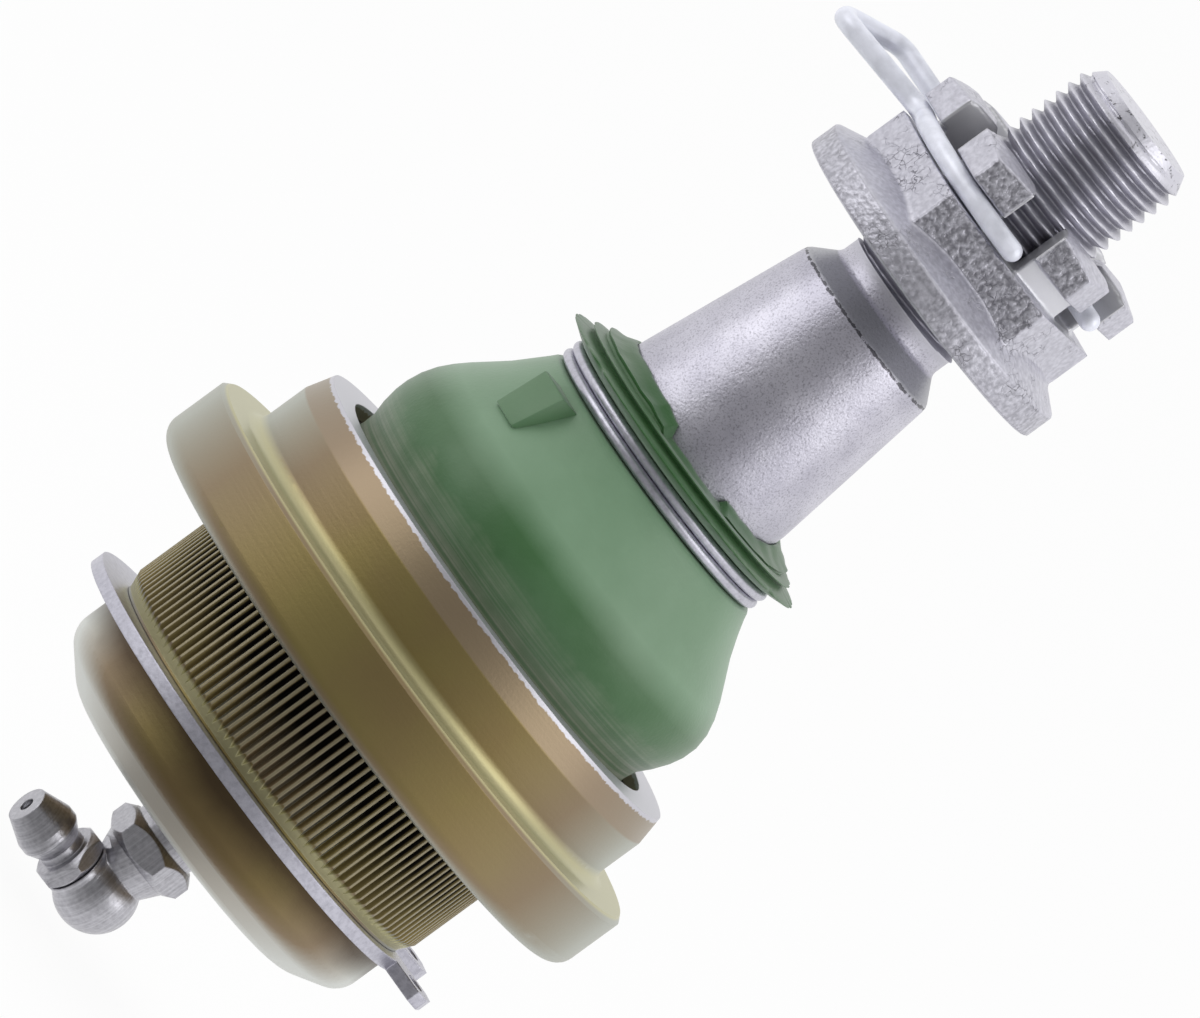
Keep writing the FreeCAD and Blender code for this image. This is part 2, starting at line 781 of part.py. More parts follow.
def make_ball_stud():
    """Forged stud: ball, neck, taper, thread with a cross hole for the clip."""
    runout_radius = size.thread_radius - size.runout_relief
    body = new_body("ball_stud", direction=size.cross_hole_direction - QUARTER_TURN)
    turned(body, "StudForging", [
        (0, size.ball_level),
        (size.neck_radius, size.ball_level),
        (size.neck_radius, size.neck_top),
        (size.shank_radius, shank_foot),
        (size.shank_radius, taper_foot),
        (size.shank_radius - size.taper_narrowing, taper_top),
        (runout_radius, runout_level),
        (runout_radius, thread_foot),
        (size.thread_radius, thread_foot),
        (size.thread_radius, stud_end - size.end_chamfer),
        (size.thread_radius - size.end_chamfer, stud_end),
        (0, stud_end),
    ])
    ball = ball_feature(body, "Ball", size.ball_radius, size.ball_level)
    neck_foot = size.ball_level + root(
        size.ball_radius * size.ball_radius - size.neck_radius * size.neck_radius
    )
    rounded(body, "NeckFillet", ball, size.neck_radius, neck_foot, size.neck_fillet)
    hole = sketch_on(body, "XZ_Plane", "CrossHole")
    draw_circle(hole, 0, cross_hole_level, size.cross_hole_radius)
    pocketed(body, "CrossDrill", hole, midplane=True)
    return body


def make_castle_nut():
    """Flanged castle nut: six slots in the flats and a round groove for the clip's outer leg."""
    bore = size.thread_radius + size.nut_bore_play
    flange_radius = nut_corner_reach + size.nut_flange_ledge
    flat_reach = size.nut_across_flats / 2
    cone_top = size.nut_flange_rim + size.nut_cone_rise
    beyond_corner = nut_corner_reach + size.nut_top_chamfer
    body = new_body("castle_nut", nut_level, size.nut_corner_direction)
    turned(body, "NutFlange", [
        (bore, 0),
        (flange_radius, 0),
        (flange_radius, size.nut_flange_rim),
        (flat_reach + size.nut_cone_ledge, cone_top),
        (bore, cone_top),
    ])
    hexagon = sketch_on(body, "XY_Plane", "Hexagon")
    draw_outline(hexagon, hexagon_corners(size.nut_across_flats))
    draw_circle(hexagon, 0, 0, bore)
    padded(body, "NutHexagon", hexagon, size.nut_height)
    turned(body, "CrownChamfer", [
        (flat_reach - size.nut_top_chamfer, size.nut_height),
        (beyond_corner, size.nut_height),
        (beyond_corner, size.nut_height - size.nut_corner_drop),
    ], kind="PartDesign::Groove")
    groove_middle = size.nut_height - size.clip_groove_drop
    groove_half = size.clip_wire_radius + size.clip_groove_play
    turned(body, "ClipGroove", [
        (clip_groove_radius, groove_middle - groove_half),
        (beyond_corner, groove_middle - groove_half),
        (beyond_corner, groove_middle + groove_half),
        (clip_groove_radius, groove_middle + groove_half),
    ], kind="PartDesign::Groove")
    turned(body, "Countersink", [
        (bore - size.nut_bore_play, size.nut_height),
        (bore + size.nut_countersink, size.nut_height),
        (bore - size.nut_bore_play, size.nut_height - size.nut_countersink),
    ], kind="PartDesign::Groove")
    plan = sketch_on(body, "XY_Plane", "SlotPlan", size.nut_height)
    half_slot = size.nut_slot_width / 2
    inner_reach = size.thread_radius / 2
    flat_turn = math.radians(FULL_TURN / HEX_SIDES / 2)
    ahead = (math.cos(flat_turn), math.sin(flat_turn))
    corners = []
    for reach, side in (
        (inner_reach, -1),
        (nut_corner_reach, -1),
        (nut_corner_reach, 1),
        (inner_reach, 1),
    ):
        across = reach * ahead[0] - half_slot * (side * ahead[1])
        up = reach * ahead[1] + half_slot * (side * ahead[0])
        corners.append((across, up))
    draw_outline(plan, corners)
    cut = pocketed(body, "Slot", plan, size.nut_slot_depth)
    patterned(body, "Slots", plan, cut, size.nut_slots)
    return body


def rounded_route(points, radii):
    """Edges of a wire that runs through the points, with an arc of its own radius at each bend."""
    edges = []
    start = points[0]
    for index, radius in enumerate(radii, 1):
        corner = points[index]
        back = (points[index - 1] - corner).normalize()
        ahead = (points[index + 1] - corner).normalize()
        opening = back.getAngle(ahead)
        setback = radius / math.tan(opening / 2)
        arc_start = corner + back * setback
        arc_end = corner + ahead * setback
        halfway = (back + ahead).normalize()
        middle = corner + halfway * (radius / math.sin(opening / 2) - radius)
        if (arc_start - start).Length > NEAR:
            edges.append(Part.LineSegment(start, arc_start).toShape())
        edges.append(Part.Arc(arc_start, middle, arc_end).toShape())
        start = arc_end
    edges.append(Part.LineSegment(start, points[-1]).toShape())
    return edges


def make_lock_pin():
    """Spring wire clip with round ends: a leg through the stud, an eye, a leg round the nut's groove."""
    hole = plain(size.cross_hole_direction)
    level = plain(cross_hole_level)
    groove_level = plain(clip_groove_level)
    begin = plain(size.clip_start_direction)
    finish = plain(size.clip_end_direction)
    ride = plain(clip_groove_radius + size.clip_wire_radius + size.clip_groove_play)
    tip_reach = plain(size.nut_across_flats / 2 + size.clip_tip_overhang)
    far_reach = plain(nut_corner_reach + size.clip_far_overhang)
    eye_reach = plain(nut_corner_reach + size.clip_eye_overhang)
    eye_level = plain(clip_groove_level - size.clip_eye_drop)
    eye_radius = plain(size.clip_eye_radius)
    tip = polar(tip_reach, hole + FULL_TURN / 2, level)
    far_bend = polar(far_reach, hole, level)
    eye_near = FreeCAD.Vector(-eye_reach, plain(size.clip_eye_side), eye_level)
    eye_far = eye_near + FreeCAD.Vector(0, plain(size.clip_eye_width), 0)
    groove_start = polar(ride, begin, groove_level)
    near_bend = groove_start + polar(plain(size.clip_near_bend_reach), begin - QUARTER_TURN, 0)
    edges = rounded_route(
        [tip, far_bend, eye_far, eye_near, near_bend, groove_start],
        [plain(size.clip_far_bend_radius), eye_radius, eye_radius, plain(size.clip_near_bend_radius)],
    )
    edges.append(level_arc(ride, begin, finish, groove_level))
    parts = [swept_wire("clip_wire", edges, tip, far_bend - tip, plain(size.clip_wire_radius))]
    for name, place in (("clip_tip", tip), ("clip_end", polar(ride, finish, groove_level))):
        end = doc.addObject("Part::Sphere", name)
        bind(end, "Radius", size.clip_wire_radius)
        end.Placement.Base = place
        parts.append(end)
    clip = doc.addObject("Part::MultiFuse", "lock_pin")
    clip.Label = "lock_pin"
    clip.Shapes = parts
    return clip


def make_grease_elbow():
    """Elbow fitting screwed into the dome, turned on a lathe and drilled both ways."""
    hex_top = size.elbow_hex_rise + size.elbow_hex_height
    shank_top = size.elbow_drop - size.boot_clearance
    thread_top = size.elbow_drop + size.dome_floor_thickness - size.stack_play
    thread = size.grease_port_radius - size.elbow_thread_play
    body = new_body("grease_elbow", elbow_level, size.fitting_direction)
    turned(body, "Shank", [
        (0, 0),
        (size.elbow_waist_radius, 0),
        (size.elbow_waist_radius, size.elbow_waist_rise),
        (size.elbow_neck_radius, size.elbow_hex_rise),
        (size.elbow_shank_radius, hex_top),
        (size.elbow_shank_radius, shank_top),
        (thread, shank_top),
        (thread, thread_top),
        (0, thread_top),
    ])
    ball_feature(body, "ElbowBall", size.elbow_radius, None)
    hexagon = sketch_on(body, "XY_Plane", "ElbowHexagon", size.elbow_hex_rise)
    draw_outline(hexagon, hexagon_corners(size.elbow_hex_flats, first_corner=FULL_TURN / HEX_SIDES / 2))
    padded(body, "ElbowNut", hexagon, size.elbow_hex_height)
    chamfered_hexagon(
        body, "ElbowNutChamfer", size.elbow_hex_flats, size.elbow_hex_rise, hex_top, size.elbow_hex_chamfer
    )
    boss = sketch_on(body, "YZ_Plane", "ElbowBoss")
    draw_circle(boss, 0, 0, size.elbow_boss_radius)
    padded(body, "Boss", boss, size.elbow_boss_reach)
    seat = sketch_on(body, "YZ_Plane", "NippleSeat", size.elbow_boss_reach)
    draw_circle(seat, 0, 0, size.elbow_radius)
    pocketed(body, "SeatFace", seat, size.elbow_radius, reverse=True)
    rise = sketch_on(body, "XY_Plane", "RisingChannel")
    draw_circle(rise, 0, 0, size.grease_channel_radius)
    pocketed(body, "RisingDrill", rise, reverse=True)
    across = sketch_on(body, "YZ_Plane", "NippleSocket")
    draw_circle(across, 0, 0, size.nipple_stem_radius + size.elbow_thread_play)
    pocketed(body, "SocketDrill", across, size.elbow_boss_reach, reverse=True)
    return body


def along_fitting(reach):
    """Placement whose Z axis runs out of the elbow, at this reach from the elbow's centre."""
    angle = math.radians(plain(size.fitting_direction))
    outwards = FreeCAD.Vector(math.cos(angle), math.sin(angle), 0)
    base = outwards * plain(reach) + FreeCAD.Vector(0, 0, plain(elbow_level))
    return FreeCAD.Placement(base, FreeCAD.Rotation(FreeCAD.Vector(0, 0, 1), outwards))


def make_grease_fitting():
    """Nipple with its hexagon collar and conical head, the ball that shuts it, and the ball's spring."""
    shoulder_reach = size.elbow_boss_reach + size.elbow_thread_play
    waist_top = size.nipple_hex_length + size.nipple_waist_length
    head_foot = waist_top + size.nipple_shoulder_length
    head_top = head_foot + size.nipple_head_length
    length = head_top + size.nipple_cone_length
    valve_seat = length - size.valve_mouth_depth
    ball_centre = valve_seat - size.valve_ball_radius
    nipple = new_body("grease_nipple")
    nipple.Placement = along_fitting(shoulder_reach)
    turned(nipple, "NippleTurning", [
        (size.valve_bore_radius, -size.nipple_stem_length),
        (size.nipple_stem_radius, -size.nipple_stem_length),
        (size.nipple_stem_radius, 0),
        (size.nipple_waist_radius, 0),
        (size.nipple_waist_radius, waist_top),
        (size.nipple_head_radius, head_foot),
        (size.nipple_head_radius, head_top),
        (size.nipple_tip_radius, length),
        (size.valve_mouth_radius, length),
        (size.valve_mouth_radius, valve_seat),
        (size.valve_bore_radius, ball_centre),
    ])
    hexagon = sketch_on(nipple, "XY_Plane", "NippleHexagon")
    draw_outline(hexagon, hexagon_corners(size.nipple_hex_flats))
    draw_circle(hexagon, 0, 0, size.valve_bore_radius)
    padded(nipple, "NippleCollar", hexagon, size.nipple_hex_length)
    chamfered_hexagon(
        nipple, "CollarChamfer", size.nipple_hex_flats, 0, size.nipple_hex_length, size.nipple_hex_chamfer
    )
    ball = doc.addObject("Part::Sphere", "valve_ball")
    ball.Label = "valve_ball"
    bind(ball, "Radius", size.valve_ball_radius)
    ball.Placement = along_fitting(shoulder_reach + ball_centre)
    spring = new_body("valve_spring")
    spring.Placement = along_fitting(shoulder_reach - size.nipple_stem_length)
    spring_length = ball_centre - size.valve_ball_radius + size.nipple_stem_length
    section = sketch_on(spring, "XZ_Plane", "SpringWire")
    coil_radius = size.valve_bore_radius - size.valve_play - size.valve_spring_wire
    wire_centre = (coil_radius, size.valve_spring_wire)
    wire_flats = size.valve_spring_wire * (2 * math.cos(math.pi / HEX_SIDES))
    draw_outline(section, hexagon_corners(wire_flats, wire_centre))
    coil = spring.newObject("PartDesign::AdditiveHelix", "SpringCoil")
    coil.Profile = section
    coil.ReferenceAxis = (section, ["V_Axis"])
    coil.Mode = "height-turns-angle"
    bind(coil, "Height", spring_length - size.valve_spring_wire * 2)
    bind(coil, "Turns", size.valve_spring_turns)
    return [nipple, ball, spring]


pieces = [
    make_housing(),
    make_retaining_ring(),
    *make_bearing_shells(),
    *make_preload(),
    make_closing_ring(),
    make_base_ring(),
    make_dust_boot(),
    make_clamp_ring(),
    make_ball_stud(),
    make_castle_nut(),
    make_lock_pin(),
    make_grease_elbow(),
    *make_grease_fitting(),
]
doc.recompute()

for item in doc.Objects:
    if "Invalid" in item.State or "Error" in item.State:
        raise RuntimeError(f"{item.Label} could not be built: {item.State}")
for piece in pieces:
    if piece.Shape.isNull() or not piece.Shape.isValid():
        raise RuntimeError(f"{piece.Label} has no valid shape")
os.makedirs("parts", exist_ok=True)
for piece in pieces:
    piece.Shape.exportStep(f"parts/{piece.Label}.step")
    print(f"{piece.Label}: {len(piece.Shape.Solids)} solid, {piece.Shape.Volume:.1f} mm3")
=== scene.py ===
import math

import bmesh
import bpy
from mathutils import Matrix, Vector, noise


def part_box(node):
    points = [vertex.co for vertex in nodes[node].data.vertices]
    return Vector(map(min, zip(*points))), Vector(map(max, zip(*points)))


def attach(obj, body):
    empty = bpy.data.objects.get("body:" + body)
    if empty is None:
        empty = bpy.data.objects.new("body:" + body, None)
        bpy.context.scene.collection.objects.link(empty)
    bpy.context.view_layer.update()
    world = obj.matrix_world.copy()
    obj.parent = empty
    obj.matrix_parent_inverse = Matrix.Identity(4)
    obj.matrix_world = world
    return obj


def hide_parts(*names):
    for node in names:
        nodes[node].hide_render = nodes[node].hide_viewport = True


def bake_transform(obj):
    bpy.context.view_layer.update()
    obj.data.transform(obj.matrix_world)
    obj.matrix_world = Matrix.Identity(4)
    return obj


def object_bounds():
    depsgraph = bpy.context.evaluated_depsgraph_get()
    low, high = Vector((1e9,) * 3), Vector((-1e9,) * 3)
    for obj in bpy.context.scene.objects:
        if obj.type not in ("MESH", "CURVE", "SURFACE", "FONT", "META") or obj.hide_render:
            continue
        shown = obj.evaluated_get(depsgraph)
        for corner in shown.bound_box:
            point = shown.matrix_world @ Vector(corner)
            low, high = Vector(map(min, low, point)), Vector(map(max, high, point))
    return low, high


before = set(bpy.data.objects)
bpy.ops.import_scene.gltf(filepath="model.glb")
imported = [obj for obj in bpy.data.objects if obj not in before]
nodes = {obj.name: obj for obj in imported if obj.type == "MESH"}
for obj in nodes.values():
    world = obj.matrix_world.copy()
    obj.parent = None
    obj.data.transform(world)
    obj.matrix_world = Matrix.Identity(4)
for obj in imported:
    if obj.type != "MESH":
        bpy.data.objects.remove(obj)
cad_low, cad_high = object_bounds()

# Suspension ball joint. Metres, +Z along the stud; z = 0 is the underside of the housing's flange.
# The pieces follow in the order in which the joint is put together.


# Housing
# Forged and turned steel, knurled where it is pressed into the arm, then zinc plated and passivated. The
# olive bronze film turns pink where it is seen edge-on, and then pale with a painted reflection. It is worn
# off the rolled rim's face. The knurl's grooves are painted black as shade and its worn ridges pale with a
# painted highlight; the ledge carries a painted highlight, and old grease and painted shade darken the dome.
MM = 0.001
PASSIVATION_OLIVE = "#8F8150"
PASSIVATION_BROWN = "#8A7850"
PASSIVATION_PINK = "#8E7D68"
PASSIVATION_REFLECTION_PALE = "#ABADA2"
DOME_BROWN = "#5C4836"
DOME_REFLECTION_PALE = "#D0D2CD"
LEDGE_HIGHLIGHT_PALE = "#C2BD90"
RIM_TAPER_PINK = "#978672"
GROOVE_SHADE_BLACK = "#14100B"
RIDGE_WORN_HIGHLIGHT = "#9A927B"
DOME_GREASE_AND_SHADE = "#4A3B2C"
BARE_RIM = "#C6C5CC"
# Turning lines and grain are drawn coarser than they are, because a pixel is about 0.1 mm wide.
CHATTER_SPACING = 0.45 * MM
GRAIN_WIDTH = 0.35 * MM
CLOUD_WIDTH = 14 * MM
RIM_FACE_DEPTH = 0.3 * MM
RIM_RAGGED = 0.35 * MM
KNURL_RADIUS = 23.4 * MM
KNURL_DEPTH = 0.5 * MM
KNURL_FOOT = -10.0 * MM
DOME_WALL_RADIUS = 20.0 * MM
RING_FOOT = -13.4 * MM
DOME_FADE = -17.5 * MM
LEAD_IN_FOOT = -11.6 * MM
LEDGE_LEVEL = 8.3 * MM
RIM_TAPER_FOOT = 14.3 * MM
KNURL_RUNOUT_FOOT = KNURL_FOOT - 0.6 * MM
KNURL_RUNOUT_TOP = KNURL_FOOT - 0.2 * MM
KNURL_INNER_RADIUS = 21.8 * MM
LEDGE_FADE_FOOT = LEDGE_LEVEL + 0.7 * MM
LEDGE_FADE_TOP = LEDGE_LEVEL + 1.6 * MM
SMEAR_SWING = 1.2 * MM
# How strongly each tint covers the film.
DOME_BROWN_SHARE = 0.4
PINK_SHARE = 0.85
LEDGE_HIGHLIGHT_SHARE = 0.7
RIM_TAPER_SHARE = 0.75
RIDGE_SHARE = 0.8
DOME_GREASE_AND_SHADE_SHARE = 0.85
# How far edge-on (0 to 1) the film begins to turn pink, begins its pale painted reflection, and is all pale.
PINK_START = 0.1
REFLECTION_START = 0.36
REFLECTION_FULL = 0.8
# Repeats per millimetre: smears of grease about 7 mm wide, and a ragged edge of about 0.6 mm on the rim.
SMEARS_PER_MM = 0.15
RAGS_PER_MM = 1.6


def linear(code):
    """Linear colour of an sRGB hex code."""
    parts = [int(code[i:i + 2], 16) / 255 for i in (1, 3, 5)]
    parts = [p / 12.92 if p <= 0.04045 else ((p + 0.055) / 1.055) ** 2.4 for p in parts]
    return (*parts, 1.0)


def add(tree, kind, inputs=None, **settings):
    """Adds a shader node with its own settings; its inputs are values or other nodes' outputs."""
    node = tree.nodes.new("ShaderNode" + kind)
    for name, value in settings.items():
        setattr(node, name, value)
    for key, value in (inputs or {}).items():
        if isinstance(value, bpy.types.NodeSocket):
            tree.links.new(value, node.inputs[key])
        else:
            node.inputs[key].default_value = value
    return node


def new_finish(name, metallic, roughness):
    """A material with its shader, its tree and the place on the object."""
    finish = bpy.data.materials.new(name)
    finish.use_nodes = True
    tree = finish.node_tree
    shader = tree.nodes["Principled BSDF"]
    shader.inputs["Metallic"].default_value = metallic
    shader.inputs["Roughness"].default_value = roughness
    place = add(tree, "TexCoord").outputs["Object"]
    return finish, tree, shader, place


def turned_place(tree, place):
    """Distance from the joint's axis and height, for patterns of turned pieces."""
    parts = add(tree, "SeparateXYZ", {0: place}).outputs
    flat = add(tree, "CombineXYZ", {0: parts[0], 1: parts[1]}).outputs[0]
    reach = add(tree, "VectorMath", {0: flat}, operation="LENGTH").outputs["Value"]
    return reach, parts[2]


def paint(piece, finish):
    """Gives a piece one material."""
    piece.data.materials.clear()
    piece.data.materials.append(finish)


# A thin coloured film over satin metal: a soft shine, a tint that changes with the angle, and a pale
# painted reflection where it is seen edge-on.
finish, tree, shader, place = new_finish("bronze_passivated_steel", 0.8, 0.4)
reach, height = turned_place(tree, place)
clouds = add(tree, "TexNoise", {"Vector": place, "Scale": 1 / CLOUD_WIDTH, "Detail": 3.0}).outputs["Fac"]
cloudy = add(tree, "MapRange", {0: clouds, 1: 0.35, 2: 0.65}).outputs[0]
colour = add(tree, "Mix", {0: cloudy, 6: linear(PASSIVATION_OLIVE), 7: linear(PASSIVATION_BROWN)},
             data_type="RGBA").outputs[2]
on_dome = add(tree, "MapRange", {0: height, 1: DOME_FADE, 2: RING_FOOT, 3: 1.0, 4: 0.0}).outputs[0]
browned = add(tree, "Math", {0: on_dome, 1: DOME_BROWN_SHARE}, operation="MULTIPLY").outputs[0]
colour = add(tree, "Mix", {0: browned, 6: colour, 7: linear(DOME_BROWN)}, data_type="RGBA").outputs[2]
edge_on = add(tree, "LayerWeight", {"Blend": 0.5}).outputs["Facing"]
pinkish = add(tree, "MapRange", {0: edge_on, 1: PINK_START, 2: REFLECTION_START, 4: PINK_SHARE}).outputs[0]
colour = add(tree, "Mix", {0: pinkish, 6: colour, 7: linear(PASSIVATION_PINK)}, data_type="RGBA").outputs[2]
# Painted reflection: seen edge-on, the film is painted pale, paler on the dome, for the white surroundings.
reflection_share = add(tree, "MapRange", {0: edge_on, 1: REFLECTION_START, 2: REFLECTION_FULL}).outputs[0]
pale_reflection = add(tree, "Mix", {0: on_dome, 6: linear(PASSIVATION_REFLECTION_PALE), 7: linear(DOME_REFLECTION_PALE)},
           data_type="RGBA").outputs[2]
colour = add(tree, "Mix", {0: reflection_share, 6: colour, 7: pale_reflection}, data_type="RGBA").outputs[2]

# Painted highlight: the ledge, facing up into the light, is painted pale; the lead-in band below the knurl is
# painted the same pale.
on_lead_in = add(tree, "MapRange", {0: height, 1: LEAD_IN_FOOT - 0.05 * MM, 2: LEAD_IN_FOOT}).outputs[0]
over_ledge = add(tree, "MapRange", {0: height, 1: LEDGE_FADE_FOOT, 2: LEDGE_FADE_TOP, 3: 1.0,
                                    4: 0.0}).outputs[0]
under_ledge = add(tree, "MapRange", {0: height, 1: LEDGE_LEVEL - 0.3 * MM,
                                     2: LEDGE_LEVEL - 0.1 * MM}).outputs[0]
lit_ledge = add(tree, "Math", {0: over_ledge, 1: under_ledge}, operation="MULTIPLY").outputs[0]
under_knurl = add(tree, "MapRange", {0: height, 1: KNURL_RUNOUT_FOOT, 2: KNURL_RUNOUT_TOP, 3: 1.0,
                                     4: 0.0}).outputs[0]
on_lead_in = add(tree, "Math", {0: on_lead_in, 1: under_knurl}, operation="MULTIPLY").outputs[0]
lit_ledge = add(tree, "Math", {0: lit_ledge, 1: LEDGE_HIGHLIGHT_SHARE}, operation="MULTIPLY").outputs[0]
lighter = add(tree, "Math", {0: lit_ledge, 1: on_lead_in}, operation="MAXIMUM").outputs[0]
colour = add(tree, "Mix", {0: lighter, 6: colour, 7: linear(LEDGE_HIGHLIGHT_PALE)}, data_type="RGBA").outputs[2]
on_taper = add(tree, "MapRange", {0: height, 1: RIM_TAPER_FOOT, 2: RIM_TAPER_FOOT + 0.2 * MM,
                                  4: RIM_TAPER_SHARE}).outputs[0]
colour = add(tree, "Mix", {0: on_taper, 6: colour, 7: linear(RIM_TAPER_PINK)}, data_type="RGBA").outputs[2]

in_groove = add(tree, "MapRange", {0: reach, 1: KNURL_RADIUS - 0.4 * KNURL_DEPTH,
                                   2: KNURL_RADIUS - 0.04 * KNURL_DEPTH, 3: 1.0, 4: 0.0}).outputs[0]
shade_towards_flange = add(tree, "MapRange", {0: height, 1: KNURL_FOOT + 0.2 * MM, 2: KNURL_FOOT + 6.0 * MM,
                                    3: 0.2}).outputs[0]
over_foot = add(tree, "MapRange", {0: height, 1: KNURL_RUNOUT_FOOT, 2: KNURL_RUNOUT_TOP}).outputs[0]
below_flange = add(tree, "MapRange", {0: height, 1: -0.1 * MM, 2: 0.1 * MM, 3: 1.0, 4: 0.0}).outputs[0]
knurled = add(tree, "Math", {0: over_foot, 1: below_flange}, operation="MULTIPLY").outputs[0]
outside = add(tree, "MapRange", {0: reach, 1: KNURL_INNER_RADIUS,
                                 2: KNURL_INNER_RADIUS + 0.2 * MM}).outputs[0]
knurled = add(tree, "Math", {0: knurled, 1: outside}, operation="MULTIPLY").outputs[0]
# The knurl's ridges are painted pale: worn, and a painted highlight along their crests.
on_ridge = add(tree, "MapRange", {0: reach, 1: KNURL_RADIUS - 0.08 * KNURL_DEPTH, 2: KNURL_RADIUS,
                                  4: RIDGE_SHARE}).outputs[0]
on_ridge = add(tree, "Math", {0: on_ridge, 1: knurled}, operation="MULTIPLY").outputs[0]
colour = add(tree, "Mix", {0: on_ridge, 6: colour, 7: linear(RIDGE_WORN_HIGHLIGHT)}, data_type="RGBA").outputs[2]
# Painted shade: the knurl's grooves are painted near black, most under the flange, fading towards its foot.
groove_shade = add(tree, "Math", {0: in_groove, 1: shade_towards_flange}, operation="MULTIPLY").outputs[0]
groove_shade = add(tree, "Math", {0: groove_shade, 1: knurled}, operation="MULTIPLY").outputs[0]
colour = add(tree, "Mix", {0: groove_shade, 6: colour, 7: linear(GROOVE_SHADE_BLACK)}, data_type="RGBA").outputs[2]

# Old grease and painted shade: the dome's wall is darkened just under the ring, with a smeared edge.
smears = add(tree, "TexNoise", {"Vector": place, "Scale": SMEARS_PER_MM / MM, "Detail": 3.0}).outputs["Fac"]
smears = add(tree, "MapRange", {0: smears, 3: -SMEAR_SWING, 4: SMEAR_SWING}).outputs[0]
smeared = add(tree, "Math", {0: height, 1: smears}, operation="ADD").outputs[0]
under_ring = add(tree, "MapRange", {0: smeared, 1: RING_FOOT - 3.8 * MM, 2: RING_FOOT - 0.8 * MM,
                                    4: DOME_GREASE_AND_SHADE_SHARE}).outputs[0]
below_ring = add(tree, "MapRange", {0: height, 1: RING_FOOT - 0.1 * MM, 2: RING_FOOT + 1.6 * MM, 3: 1.0,
                                    4: 0.0}).outputs[0]
on_wall = add(tree, "MapRange", {0: reach, 1: DOME_WALL_RADIUS - 4 * MM, 2: DOME_WALL_RADIUS}).outputs[0]
greasy = add(tree, "Math", {0: under_ring, 1: below_ring}, operation="MULTIPLY").outputs[0]
greasy = add(tree, "Math", {0: greasy, 1: on_wall}, operation="MULTIPLY").outputs[0]
colour = add(tree, "Mix", {0: greasy, 6: colour, 7: linear(DOME_GREASE_AND_SHADE)}, data_type="RGBA").outputs[2]

ragged = add(tree, "TexNoise", {"Vector": place, "Scale": RAGS_PER_MM / MM, "Detail": 4.0}).outputs["Fac"]
ragged = add(tree, "MapRange", {0: ragged, 3: -RIM_RAGGED, 4: RIM_RAGGED}).outputs[0]
worn_height = add(tree, "Math", {0: height, 1: ragged}, operation="ADD").outputs[0]
rim_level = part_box("housing")[1].z
bare = add(tree, "MapRange", {0: worn_height, 1: rim_level - 1.6 * RIM_FACE_DEPTH,
                              2: rim_level - 1.2 * RIM_FACE_DEPTH}).outputs[0]
colour = add(tree, "Mix", {0: bare, 6: colour, 7: linear(BARE_RIM)}, data_type="RGBA").outputs[2]
tree.links.new(colour, shader.inputs["Base Color"])

round_place = add(tree, "CombineXYZ", {0: reach, 1: height}).outputs[0]
lines = add(tree, "TexNoise", {"Vector": round_place, "Scale": 1 / CHATTER_SPACING,
                               "Detail": 2.0}).outputs["Fac"]
grain = add(tree, "TexNoise", {"Vector": place, "Scale": 1 / GRAIN_WIDTH, "Detail": 2.0}).outputs["Fac"]
relief = add(tree, "Math", {0: lines, 1: grain}, operation="ADD").outputs[0]
soft_edge = add(tree, "Bevel", {"Radius": 0.15 * MM}, samples=4).outputs[0]
bump = add(tree, "Bump", {"Strength": 0.35, "Distance": 0.04 * MM, "Height": relief, "Normal": soft_edge})
tree.links.new(bump.outputs[0], shader.inputs["Normal"])
paint(nodes["housing"], finish)


# Pieces inside the housing
# Two moulded plastic shells carry the ball. A pressed plate and a disc spring lie below them, a pressed ring
# above, and a steel band in the boot's foot. They are stacked loose and held in by the rolled rim.
ACETAL_CREAM = "#E4DDC8"
ACETAL_TAN = "#C9BE9C"
OILED_GREY = "#4C4C4A"
OILED_BLACK = "#2C2A27"
# Repeats per millimetre: grease streaks of about 5 mm on the shells and 3 mm on the steel.
SHELL_STREAKS_PER_MM = 0.2
STEEL_STREAKS_PER_MM = 0.3

# Cream plastic, waxy under its grease.
finish, tree, shader, place = new_finish("greased_acetal", 0.0, 0.4)
streaks = add(tree, "TexNoise", {"Vector": place, "Scale": SHELL_STREAKS_PER_MM / MM,
                                 "Detail": 3.0}).outputs["Fac"]
colour = add(tree, "Mix", {0: streaks, 6: linear(ACETAL_CREAM), 7: linear(ACETAL_TAN)},
             data_type="RGBA").outputs[2]
tree.links.new(colour, shader.inputs["Base Color"])
for name in ("lower_bearing", "upper_bearing"):
    paint(nodes[name], finish)

# Dark bare steel, dulled by oil; of these pieces only the closing ring shows, as a dark line round the boot.
finish, tree, shader, place = new_finish("oiled_pressed_steel", 1.0, 0.45)
streaks = add(tree, "TexNoise", {"Vector": place, "Scale": STEEL_STREAKS_PER_MM / MM,
                                 "Detail": 3.0}).outputs["Fac"]
colour = add(tree, "Mix", {0: streaks, 6: linear(OILED_GREY), 7: linear(OILED_BLACK)},
             data_type="RGBA").outputs[2]
tree.links.new(colour, shader.inputs["Base Color"])
for name in ("pressure_plate", "preload_spring", "closing_ring", "boot_base_ring"):
    paint(nodes[name], finish)


# Retaining ring and clamp ring
# Spring steel: a stamped open ring with plier lugs below, a wire ring of two turns round the boot's neck.
# Both are zinc plated and snapped on.
PLATED_LILAC = "#C6C5D0"
PLATED_DULL = "#A1A0AB"
# Repeats per millimetre: stains of about 0.6 mm and a grain of 0.4 mm, which is drawn coarser than it is so
# that it shows.
STAINS_PER_MM = 1.6
PLATED_GRAIN_PER_MM = 2.5

